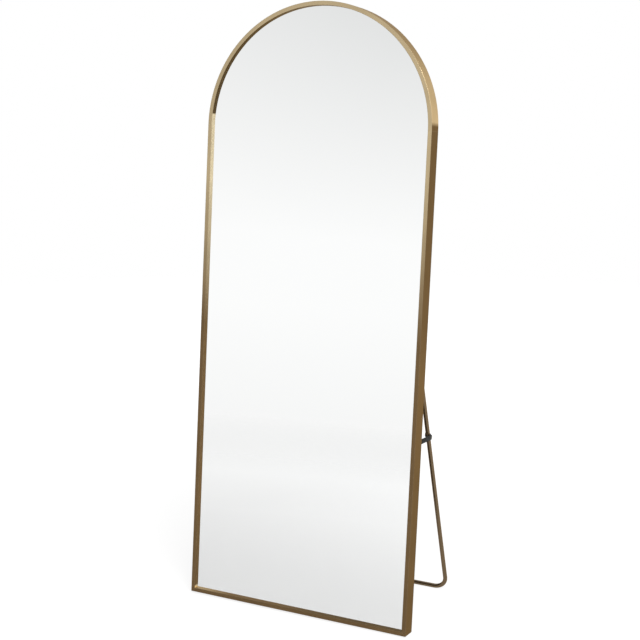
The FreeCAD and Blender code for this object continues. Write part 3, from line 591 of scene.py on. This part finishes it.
def turned(profile, steps=40):
    """A shape turned about Z. Its profile of radii and heights is a ring, or starts and ends on the axis."""
    verts, faces, rings = [], [], []
    turns = [2 * math.pi * i / steps for i in range(steps)]
    for radius, height in profile:
        if radius == 0:
            rings.append([len(verts)] * steps)
            verts.append((0, 0, height))
            continue
        rings.append(list(range(len(verts), len(verts) + steps)))
        verts += [(radius * math.cos(turn), radius * math.sin(turn), height) for turn in turns]
    closed = profile[0][0] > 0
    pairs = zip(rings, rings[1:] + rings[:1]) if closed else zip(rings, rings[1:])
    for low, high in pairs:
        for i in range(steps):
            corners = [low[i], low[(i + 1) % steps], high[(i + 1) % steps], high[i]]
            faces.append(list(dict.fromkeys(corners)))
    mesh = bpy.data.meshes.new("turned")
    mesh.from_pydata(verts, [], faces)
    return mesh


def dome(radius, height, seat):
    """The profile of a domed head that starts on the axis below its seat."""
    arc = [(radius * math.cos(a), height * math.sin(a)) for a in (math.pi / 10 * i for i in range(5))]
    arc.append((0, height))
    return [(0, -seat), (radius * 0.55, -seat), (radius * 0.55, 0)] + arc


def pan_crown(radius, height):
    """The profile of a pan head from its edge at height 0 to its middle."""
    return [(radius * wide, height * high) for wide, high in
            ((1, 0), (1, 0.45), (0.94, 0.72), (0.78, 0.92), (0.5, 1), (0, 1))]


def pan_head(radius, height, shank, shank_length):
    """The profile of a pan head on its shank, with the seat at height 0."""
    return [(0, -shank_length), (shank, -shank_length), (shank, 0)] + pan_crown(radius, height)


def new_pins(name, body, node, profile, seat, metal):
    """A piece with a turned pin for each of a CAD node's pins. Their heads point to the mirror's middle and
    seat is the distance of their seats from there."""
    meshes = []
    for corners in node_parts(node):
        centre = middle(corners)
        side = math.copysign(1, centre.x)
        mesh = turned(profile)
        mesh.transform(Matrix.Translation((side * seat, centre.y, centre.z))
                       @ Matrix.Rotation(-side * math.pi / 2, 4, "Y"))
        meshes.append(mesh)
    new_piece(name, joined(meshes), body, metal, [node])


def strip(outline, low, high):
    """A flat shape between two X planes, from its (depth, height) outline, with softened edges."""
    count = len(outline)
    verts = [(x, y, z) for x in (low, high) for y, z in outline]
    faces = [list(range(count))[::-1], list(range(count, 2 * count))]
    faces += [[i, (i + 1) % count, count + (i + 1) % count, count + i] for i in range(count)]
    mesh = bpy.data.meshes.new("strip")
    mesh.from_pydata(verts, [], faces)
    piece = in_scene("strip", mesh)
    softened = piece.modifiers.new("softened", "BEVEL")
    softened.width = SOFT_EDGE
    softened.segments = 2
    softened.limit_method = "ANGLE"
    softened.angle_limit = math.radians(40)
    return as_mesh(piece)


def as_mesh(piece):
    """The evaluated piece as a plain mesh. The piece itself isn't kept."""
    graph = bpy.context.evaluated_depsgraph_get()
    graph.update()
    mesh = bpy.data.meshes.new_from_object(piece.evaluated_get(graph))
    bpy.data.objects.remove(piece)
    return mesh


# --- geometry nodes ---

def new_tree(name, inputs):
    """An empty geometry node tree and its input sockets. An input without a value names its kind."""
    tree = bpy.data.node_groups.new(name, "GeometryNodeTree")
    tree.interface.new_socket("Geometry", in_out="INPUT", socket_type="NodeSocketGeometry")
    for label, value in inputs.items():
        kind = value if isinstance(value, str) else {float: "Float", int: "Int"}[type(value)]
        socket = tree.interface.new_socket(label, in_out="INPUT", socket_type=f"NodeSocket{kind}")
        if kind != value:
            socket.default_value = value
    tree.interface.new_socket("Geometry", in_out="OUTPUT", socket_type="NodeSocketGeometry")
    return tree, tree.nodes.new("NodeGroupInput").outputs


def end_tree(tree, given, geometry):
    """Makes the instances real, gives them their material and ends the tree."""
    real = step(tree, "GeometryNodeRealizeInstances", {0: geometry})
    dressed = step(tree, "GeometryNodeSetMaterial", {"Geometry": real, "Material": given["Material"]})
    tree.links.new(dressed, tree.nodes.new("NodeGroupOutput").inputs[0])


def swept_tube():
    """A round tube along the input curve, with each corner bent to a radius."""
    tree, given = new_tree("Swept tube", {"Diameter": 0.0127, "Bend radius": 0.042, "Bend steps": 24,
                                          "Sides": 56, "Material": "Material"})
    bent = step(tree, "GeometryNodeFilletCurve", {"Curve": given["Geometry"], "Radius": given["Bend radius"],
                                                  "Count": given["Bend steps"]}, mode="POLY")
    ring = step(tree, "GeometryNodeCurvePrimitiveCircle",
                {"Resolution": given["Sides"], "Radius": product(tree, given["Diameter"], 0.5)})
    end_tree(tree, given, step(tree, "GeometryNodeCurveToMesh",
                               {"Curve": bent, "Profile Curve": ring, "Fill Caps": True}))
    return tree


def pieces_at_points():
    """One pattern piece on every point, its Z along the point's outwards direction and its X along the
    point's sideways direction. A cross is cut into its crown where the cross has a length."""
    tree, given = new_tree("Pieces at points", {
        "Pattern": "Object", "Crown height": 0.002, "Cross length": 0.0, "Cross width": 0.001,
        "Cross depth": 0.001, "Turn seed": 7, "Largest turn": 0.0, "Material": "Material"})
    pattern = put(tree, "GeometryNodeObjectInfo", {"Object": given["Pattern"]}).outputs["Geometry"]
    cut = put(tree, "GeometryNodeMeshBoolean", {0: pattern}, operation="DIFFERENCE", solver="EXACT")
    deep = product(tree, given["Cross depth"], 2.0)
    lift = combine(tree, 0.0, 0.0, given["Crown height"])
    for first, second in (("Cross length", "Cross width"), ("Cross width", "Cross length")):
        arm = step(tree, "GeometryNodeMeshCube", {"Size": combine(tree, given[first], given[second], deep)})
        raised = step(tree, "GeometryNodeTransform", {"Geometry": arm, "Translation": lift})
        tree.links.new(raised, cut.inputs[1])
    crossed = step(tree, "FunctionNodeCompare", {0: given["Cross length"], 1: 0.0}, operation="GREATER_THAN")
    choice = step(tree, "GeometryNodeSwitch", {"Switch": crossed, "False": pattern, "True": cut.outputs[0]},
                  input_type="GEOMETRY")
    out, beside = (put(tree, "GeometryNodeInputNamedAttribute", {"Name": label},
                       data_type="FLOAT_VECTOR").outputs["Attribute"] for label in ("outwards", "sideways"))
    facing = step(tree, "FunctionNodeAxesToRotation", {"Primary Axis": out, "Secondary Axis": beside},
                  primary_axis="Z", secondary_axis="X")
    placed = step(tree, "GeometryNodeInstanceOnPoints",
                  {"Points": given["Geometry"], "Instance": choice, "Rotation": facing})
    angle = put(tree, "FunctionNodeRandomValue",
                {2: 0.0, 3: given["Largest turn"], "Seed": given["Turn seed"]}, data_type="FLOAT").outputs[1]
    end_tree(tree, given, step(tree, "GeometryNodeRotateInstances", {
        "Instances": placed, "Rotation": combine(tree, 0.0, 0.0, angle), "Local Space": True}))
    return tree


def grow(base, tree, **values):
    """Runs a tree on a base object: its mesh, with the base and the modifier not kept."""
    modifier = base.modifiers.new(tree.name, "NODES")
    modifier.node_group = tree
    sockets = {item.name.lower(): item.identifier for item in tree.interface.items_tree
               if item.item_type == "SOCKET" and item.in_out == "INPUT"}
    for word, value in values.items():
        modifier[sockets[word.replace("_", " ")]] = value
    return as_mesh(base)


def at_points(spots, pattern, material, **values):
    """Copies of the pattern mesh at spots, each a point, an outward and a sideways direction."""
    points = bpy.data.meshes.new("spots")
    points.from_pydata([spot[0] for spot in spots], [], [])
    for label, column in (("outwards", 1), ("sideways", 2)):
        attribute = points.attributes.new(label, "FLOAT_VECTOR", "POINT")
        attribute.data.foreach_set("vector", [part for spot in spots for part in spot[column]])
    base, sample = in_scene("spots", points), in_scene("pattern", pattern)
    tree = bpy.data.node_groups.get("Pieces at points") or pieces_at_points()
    mesh = grow(base, tree, pattern=sample, material=material, **values)
    bpy.data.objects.remove(sample)
    bpy.data.meshes.remove(pattern)
    return mesh


def node_parts(name):
    """The separate solids of a CAD node, each as its list of corners."""
    mesh = NODES[name].data
    parent = list(range(len(mesh.vertices)))

    def root(i):
        while parent[i] != i:
            parent[i] = parent[parent[i]]
            i = parent[i]
        return i

    same_place = {}
    for vertex in mesh.vertices:
        key = tuple(round(part, 6) for part in vertex.co)
        parent[root(vertex.index)] = root(same_place.setdefault(key, vertex.index))
    for edge in mesh.edges:
        parent[root(edge.vertices[0])] = root(edge.vertices[1])
    parts = {}
    for vertex in mesh.vertices:
        parts.setdefault(root(vertex.index), []).append(vertex.co.copy())
    return list(parts.values())


def middle(corners):
    low = Vector([min(co[i] for co in corners) for i in range(3)])
    high = Vector([max(co[i] for co in corners) for i in range(3)])
    return (low + high) / 2


# --- operators ---

def settings_of(context):
    return context.scene.floor_mirror_sizes, context.scene.floor_mirror_finish


def dress(node, material):
    """Gives a CAD node a finished material."""
    for slot in NODES[node].material_slots:
        slot.material = material


class FLOORMIRROR_OT_frame(bpy.types.Operator):
    """Finish the arch and the three rails in brushed, anodised aluminium, with painted highlights and painted
    shade
    """
    bl_idname = "floormirror.frame"
    bl_label = "Frame"

    def execute(self, context):
        sizes, finish = settings_of(context)
        foot_height = (LEANED.inverted() @ on_mirror(sizes).translation).z
        arch_base = foot_height + sizes.frame_height - sizes.frame_width / 2
        rough = finish.rail_roughness
        rails = anodised("Anodised rail painted light", finish, rough, along_mirror, rail_painted_light(finish))
        bottom = anodised("Anodised bottom rail painted light", finish, rough, sideways, bottom_painted_light(finish))
        arch = anodised("Anodised arch painted light", finish, rough - 0.04, around_arch(arch_base),
                        arch_painted_light(finish, arch_base), 0.06)
        dress("side_rail_left", rails)
        dress("side_rail_right", rails)
        dress("bottom_rail", bottom)
        dress("frame_arch", arch)
        return {"FINISHED"}


class FLOORMIRROR_OT_panels(bpy.types.Operator):
    """Finish the mirror pane, the foam sheet and the back board"""
    bl_idname = "floormirror.panels"
    bl_label = "Panels"

    def execute(self, context):
        _, finish = settings_of(context)
        dress("mirror_glass", silvered_glass("Silvered glass", finish.glass_colour))
        dress("foam_sheet", foam("White foam", finish.foam_colour))
        dress("back_board", fibreboard("Fibreboard", finish.board_colour))
        return {"FINISHED"}


class FLOORMIRROR_OT_leg(bpy.types.Operator):
    """Bend the leg's tube, cap its ends and set its stop rivets"""
    bl_idname = "floormirror.leg"
    bl_label = "Leg"

    def execute(self, context):
        sizes, finish = settings_of(context)
        metal = anodised("Anodised tube", finish, finish.tube_roughness, along_leg,
                         lambda tree: finish.tube_colour)
        route = bpy.data.curves.new("leg route", "CURVE")
        route.dimensions = "3D"
        line = route.splines.new("POLY")
        line.points.add(3)
        half, top, low = sizes.leg_half_width, sizes.tube_above, -sizes.leg_length
        for point, (x, z) in zip(line.points, ((-half, top), (-half, low), (half, low), (half, top))):
            point.co = (x, 0, z, 1)
        tube = grow(in_scene("leg route", route), swept_tube(), diameter=sizes.tube_diameter,
                    bend_radius=sizes.bend_radius, material=metal)
        tube.transform(ON_LEG)
        new_piece("leg_tube_bent", tube, "leg", metal, ["leg_tube"])
        moulded = nylon("Black nylon plug", finish)
        plugs = []
        for side in SIDES.values():
            plug = turned(self.plug_profile(sizes.tube_diameter / 2))
            plug.transform(Matrix.Translation((side * half, 0, top)))
            plugs.append(plug)
        caps = joined(plugs)
        caps.transform(ON_LEG)
        new_piece("tube_caps", caps, "leg", moulded, ["leg_plugs"])
        new_pins("stop_rivet_heads", "leg", "stop_rivets", pan_head(**STOP_RIVET), STOP_SEAT,
                 plated("Stop rivet", 0.35, finish))
        return {"FINISHED"}

    def plug_profile(self, radius):
        """The profile of a plug: a stem inside the tube's wall and a cap with a softened edge."""
        stem, cap = radius - PLUG_WALL, PLUG_CAP
        return [(0, -PLUG_DEPTH), (stem, -PLUG_DEPTH), (stem, 0), (radius, 0.00005), (radius, cap - 0.0007),
                (radius - 0.0002, cap - 0.0003), (radius - 0.0008, cap), (0, cap)]


class FLOORMIRROR_OT_stays(bpy.types.Operator):
    """Make the riveted stays with their sliding collars"""
    bl_idname = "floormirror.stays"
    bl_label = "Stays"

    def execute(self, context):
        sizes, finish = settings_of(context)
        paint = plain_metal("Black paint", finish.black_colour, 0.0, 0.55, finish.wear * 0.4,
                            finish.dust * 0.5, (0.12, 0.11, 0.09), 0.12)
        moulded = nylon("Black nylon collar", finish)
        riveted = plated("Plated rivet", 0.36, finish)
        for name, side in SIDES.items():
            dress(f"stay_plate_{name}", paint)
            new_pins(f"stay_stud_{name}", "mirror", f"stay_pivot_{name}",
                     SHOULDERED_SHANK + pan_crown(*RIVET_HEAD), STUD_SEAT, riveted)
            self.link(name, side, sizes, paint)
            self.rivet(name, side, sizes, riveted)
            self.collar(name, side, sizes, moulded)
        return {"FINISHED"}

    def link(self, name, side, sizes, paint):
        radius = sizes.link_width / 2
        outline = []
        for centre, start in ((sizes.link_length, -90), (0, 90)):
            for i in range(25):
                turn = math.radians(start + 7.5 * i)
                outline.append((centre + radius * math.cos(turn), radius * math.sin(turn)))
        inner = side * sizes.link_inner
        outer = side * (sizes.link_inner + sizes.link_thick)
        mesh = strip(outline, min(inner, outer), max(inner, outer))
        mesh.transform(Matrix.Translation(STAY_PIVOT) @ LEANED)
        new_piece(f"stay_strip_{name}", mesh, f"stay_{name}", paint, [f"stay_link_{name}"])

    def rivet(self, name, side, sizes, riveted):
        mesh = turned(dome(*RIVET_HEAD, sizes.link_thick))
        seat = Vector((side * (sizes.link_inner + sizes.link_thick), sizes.link_length, 0))
        mesh.transform(Matrix.Translation(STAY_PIVOT) @ LEANED @ Matrix.Translation(seat)
                       @ Matrix.Rotation(side * math.pi / 2, 4, "Y"))
        new_piece(f"stay_rivet_head_{name}", mesh, f"stay_{name}", riveted, [f"stay_rivet_{name}"])

    def collar(self, name, side, sizes, moulded):
        bore = sizes.tube_diameter / 2 + sizes.collar_play
        half = sizes.collar_height / 2
        lobe, soft = sizes.flange_height, sizes.flange_soft
        flange, waist = sizes.collar_flange, sizes.collar_waist
        outer = []
        for low, high in ((-half, lobe - half), (half - lobe, half)):
            outer += [(flange - soft, low), (flange - 0.3 * soft, low + 0.3 * soft), (flange, low + soft),
                      (flange, high - soft), (flange - 0.3 * soft, high - 0.3 * soft), (flange - soft, high)]
            if low < 0:
                outer += [(waist, high + SOFT_EDGE), (waist, -high - SOFT_EDGE)]
        mesh = turned([(bore, -half)] + outer + [(bore, half)], 56)
        for vertex in mesh.vertices:
            vertex.co.x = side * min(side * vertex.co.x, sizes.collar_flat)
        mesh.transform(ON_LEG @ Matrix.Translation((side * sizes.leg_half_width, 0, -sizes.stay_along_leg)))
        new_piece(f"collar_moulding_{name}", mesh, f"sleeve_{name}", moulded,
                  [f"collar_{name}"])


class FLOORMIRROR_OT_hinges(bpy.types.Operator):
    """Finish the hinge brackets and spacers and turn their pins"""
    bl_idname = "floormirror.hinges"
    bl_label = "Hinges"

    def execute(self, context):
        _, finish = settings_of(context)
        paint = plain_metal("Black bracket paint", finish.black_colour, 0.0, 0.5, finish.wear * 0.7,
                            finish.dust, (0.2, 0.18, 0.15), 0.25)
        turned_steel = plated("Hinge pin", 0.34, finish)
        for name in SIDES:
            dress(f"hinge_bracket_{name}", paint)
            new_pins(f"hinge_round_pin_{name}", "mirror", f"hinge_pin_{name}", pan_head(**HINGE_PIN),
                     HINGE_PIN_SEAT, turned_steel)
        dress("hinge_spacers", nylon("Black nylon bush", finish))
        return {"FINISHED"}


class FLOORMIRROR_OT_fasteners(bpy.types.Operator):
    """Make the screws and clips, and finish the nuts and keys"""
    bl_idname = "floormirror.fasteners"
    bl_label = "Fasteners"

    def execute(self, context):
        sizes, finish = settings_of(context)
        zinc = plain_metal("Zinc plate", finish.zinc_colour, 0.85, 0.38, finish.wear * 0.4, finish.dust,
                           (0.8, 0.8, 0.78))
        for node in ("channel_nuts", "key_screws", "corner_key_left", "corner_key_right", "splice_key_left",
                     "splice_key_right"):
            dress(node, zinc)
        self.bracket_screws(zinc)
        self.board_screws(zinc)
        self.clips(sizes, zinc)
        return {"FINISHED"}

    def bracket_screws(self, zinc):
        spots = []
        for corners in node_parts("bracket_screws"):
            centre = middle(corners)
            side = math.copysign(1, centre.x)
            inner = min(abs(co.x) for co in corners)
            seat = Vector((side * (inner + BRACKET_SCREW["height"]), centre.y, centre.z))
            spots.append((seat, Vector((-side, 0, 0)), Vector((0, 1, 0))))
        self.screws("bracket_pan_screws", "bracket_screws", spots, BRACKET_SCREW, BRACKET_CROSS, zinc)

    def board_screws(self, zinc):
        back = LEANED.to_3x3() @ Vector((0, 1, 0))
        spots = []
        for corners in node_parts("clip_screws"):
            centre = middle(corners)
            reach = max((co - centre).dot(back) for co in corners)
            spots.append((centre + back * (reach - BOARD_SCREW["height"]), back, Vector((1, 0, 0))))
        self.screws("board_pan_screws", "clip_screws", spots, BOARD_SCREW, BOARD_CROSS, zinc)

    def screws(self, name, node, spots, head, cross, zinc):
        """Pan heads with cut crosses, each turned by its own chance angle."""
        mesh = at_points(spots, turned(pan_head(**head)), zinc, crown_height=head["height"], largest_turn=1.5,
                         **cross)
        new_piece(name, mesh, "mirror", zinc, [node])

    def clips(self, sizes, zinc):
        """Rounded clips where the CAD clips are, each pointing in from the frame."""
        screws = [middle(corners) for corners in node_parts("clip_screws")]
        meshes = []
        place = on_mirror(sizes)
        drawn = place.inverted()
        for corners in node_parts("board_clips"):
            centre = middle(corners)
            screw = min(screws, key=lambda point: (point - centre).length)
            local = [drawn @ co for co in corners]
            face = min(co.y for co in local)
            hub = drawn @ centre
            inwards = drawn @ screw - hub
            inwards.y = 0
            inwards.normalize()
            across = Vector((-inwards.z, 0, inwards.x))
            reach = [(co - hub).dot(inwards) for co in local]
            span = max((co - hub).dot(across) for co in local)
            low, high = min(reach), max(reach)
            round_at, corner = high - CLIP_CORNER, CLIP_CORNER - span
            outline = [(low, -span), (round_at, -span)]
            outline += [(round_at + CLIP_CORNER * math.sin(a), corner - CLIP_CORNER * math.cos(a))
                        for a in (math.radians(15 * i) for i in range(1, 7))]
            outline += [(x, -y) for x, y in outline[::-1]]
            mesh = strip(outline, 0, CLIP_THICK)
            turn = Matrix(((0, inwards.x, across.x, hub.x), (1, 0, 0, face), (0, inwards.z, across.z, hub.z),
                           (0, 0, 0, 1)))
            mesh.transform(place @ turn)
            meshes.append(mesh)
        new_piece("rounded_clips", joined(meshes), "mirror", zinc, ["board_clips"])


# What metal and glass see of the room, as ranges of a direction and the shares that they map to. It greys
# upwards and a little below the horizon, is paler to the left, and darkens at the far left and behind.
SKY_RISE, SKY_TOP = (0.035, 0.22), (0.76, 0.765, 0.765)
SKY_FALL, SKY_FOOT = (-0.02, -0.10), (0.955, 0.955, 0.955)
SKY_PALER = (-0.40, -0.55, 0.0, 0.3)
SKY_FLAG = (-0.58, -0.80, 0.0, 0.9)
SKY_BEHIND = (0.3, 0.9, 0.0, 0.18)
# What they see of the floor: its strength by the distance from the mirror and its slant from left to right, a
# painted shade that is darker near the mirror and to the left.
FLOOR_BRIGHTENS = (0.0, 2.9, 0.65, 1.19)
FLOOR_SLANT = (-1.0, 1.0, -0.09, 0.09)


class FLOORMIRROR_OT_stage(bpy.types.Operator):
    """Lay the floor, light it softly and set up the camera"""
    bl_idname = "floormirror.stage"
    bl_label = "Stage"

    def execute(self, context):
        stage = context.scene.floor_mirror_stage
        self.floor(stage)
        self.room(context, stage)
        self.key_light(stage)
        self.camera(context, stage)
        context.scene.view_settings.view_transform = "Standard"
        return {"FINISHED"}

    def floor(self, stage):
        """A pale disc that fades out towards its rim, and shows white but for the object's shadow."""
        rim, low, high = stage.floor_radius, -0.02, -0.0004
        mesh = turned([(0, low), (rim, low), (rim, high), (0, high)], 96)
        floor = in_scene("floor", mesh)
        made, tree, shader, place = new_material(
            "Pale floor", {"Base Color": (0.82, 0.82, 0.82, 1), "Roughness": 0.9, "Specular IOR Level": 0.1})
        eye, _, seen = self.rays(tree)
        far = vector_maths(tree, "LENGTH", place)
        mirrored = maths(tree, "ADD", ramp(tree, far, *FLOOR_BRIGHTENS),
                         ramp(tree, split(tree, place)["X"], *FLOOR_SLANT))
        glow = maths(tree, "ADD", product(tree, eye, stage.floor_glow), mirrored)
        white = step(tree, "ShaderNodeEmission", {"Color": (1, 1, 1, 1), "Strength": glow})
        shown = step(tree, "ShaderNodeMixShader", {0: 0.30, 1: white, 2: shader.outputs[0]})
        whole = step(tree, "ShaderNodeMixShader", {0: seen, 1: shader.outputs[0], 2: shown})
        gone = product(tree, seen, ramp(tree, far, rim * 0.3, rim * 0.95))
        clear = tree.nodes.new("ShaderNodeBsdfTransparent").outputs[0]
        faded = step(tree, "ShaderNodeMixShader", {0: gone, 1: whole, 2: clear})
        tree.links.new(faded, tree.nodes["Material Output"].inputs["Surface"])
        mesh.materials.append(made)

    def room(self, context, stage):
        """White to the eye, a soft gradient in metal and glass, and an even light on everything else."""
        world = bpy.data.worlds.new("Studio")
        context.scene.world = world
        world.use_nodes = True
        tree = world.node_tree
        tree.nodes.clear()
        _, mirrored, seen = self.rays(tree)
        direction = split(tree, tree.nodes.new("ShaderNodeTexCoord").outputs["Generated"])
        white, black = (1.0, 1.0, 1.0), (0.0, 0.0, 0.0)
        sky = blend_colour(tree, ramp(tree, direction["Z"], *SKY_RISE), white, SKY_TOP)
        sky = blend_colour(tree, ramp(tree, direction["X"], *SKY_PALER), sky, white)
        sky = blend_colour(tree, ramp(tree, direction["Z"], *SKY_FALL), sky, SKY_FOOT)
        dark = maths(tree, "MAXIMUM", ramp(tree, direction["X"], *SKY_FLAG),
                     ramp(tree, direction["Y"], *SKY_BEHIND))
        colours = blend_colour(tree, mirrored, white, blend_colour(tree, dark, sky, black))
        shown = step(tree, "ShaderNodeBackground", {"Color": colours, "Strength": 1.0})
        light = step(tree, "ShaderNodeBackground", {"Color": (1, 1, 1, 1), "Strength": stage.room_light})
        both = step(tree, "ShaderNodeMixShader", {0: seen, 1: light, 2: shown})
        tree.links.new(both, tree.nodes.new("ShaderNodeOutputWorld").inputs["Surface"])

    def rays(self, tree):
        """Masks of the rays from the eye, of those from mirrors and glass, and of both."""
        path = tree.nodes.new("ShaderNodeLightPath").outputs
        eye = path["Is Camera Ray"]
        mirrored = maths(tree, "MAXIMUM", path["Is Glossy Ray"], path["Is Transmission Ray"])
        return eye, mirrored, maths(tree, "MAXIMUM", eye, mirrored)

    def key_light(self, stage):
        """A soft rectangular light, aimed at the middle of the mirror."""
        data = bpy.data.lights.new("Key", "AREA")
        data.shape = "RECTANGLE"
        data.size, data.size_y = 2.4, 1.2
        data.energy = stage.key_power
        lamp = in_scene("Key", data)
        lamp.location = stage.key_place
        aim = Vector((0, 0, 0.9)) - lamp.location
        lamp.rotation_euler = aim.to_track_quat("-Z", "Y").to_euler()

    def camera(self, context, stage):
        data = bpy.data.cameras.new("Camera")
        data.sensor_width = 36
        data.lens = stage.lens
        data.shift_y = stage.camera_shift
        camera = in_scene("Camera", data)
        camera.location = stage.camera_place
        camera.rotation_euler = (math.pi / 2 - stage.camera_tilt, 0, stage.camera_turn)
        context.scene.camera = camera


# --- panel and run ---

OPERATORS = (FLOORMIRROR_OT_frame, FLOORMIRROR_OT_panels, FLOORMIRROR_OT_leg, FLOORMIRROR_OT_stays,
             FLOORMIRROR_OT_hinges, FLOORMIRROR_OT_fasteners, FLOORMIRROR_OT_stage)
GROUPS = {"floor_mirror_sizes": FloorMirrorSizes, "floor_mirror_finish": FloorMirrorFinish,
          "floor_mirror_stage": FloorMirrorStage}


class FLOORMIRROR_PT_panel(bpy.types.Panel):
    """Lists the pieces of the floor mirror with their settings"""
    bl_idname = "FLOORMIRROR_PT_panel"
    bl_label = "Floor Mirror"
    bl_space_type = "VIEW_3D"
    bl_region_type = "UI"
    bl_category = "Floor Mirror"

    def draw(self, context):
        for operator in OPERATORS:
            self.layout.operator(operator.bl_idname)
        for group in GROUPS:
            box = self.layout.box()
            settings = getattr(context.scene, group)
            for name in settings.bl_rna.properties.keys():
                if name not in ("rna_type", "name"):
                    box.prop(settings, name)


def register():
    for kind in (*GROUPS.values(), *OPERATORS, FLOORMIRROR_PT_panel):
        bpy.utils.register_class(kind)
    for name, group in GROUPS.items():
        setattr(bpy.types.Scene, name, PointerProperty(type=group))


def unregister():
    for name in GROUPS:
        delattr(bpy.types.Scene, name)
    for kind in (FLOORMIRROR_PT_panel, *OPERATORS[::-1], *GROUPS.values()):
        bpy.utils.unregister_class(kind)


def main():
    register()
    for operator in OPERATORS:
        group, name = operator.bl_idname.split(".")
        getattr(getattr(bpy.ops, group), name)()


if __name__ == "__main__":
    main()
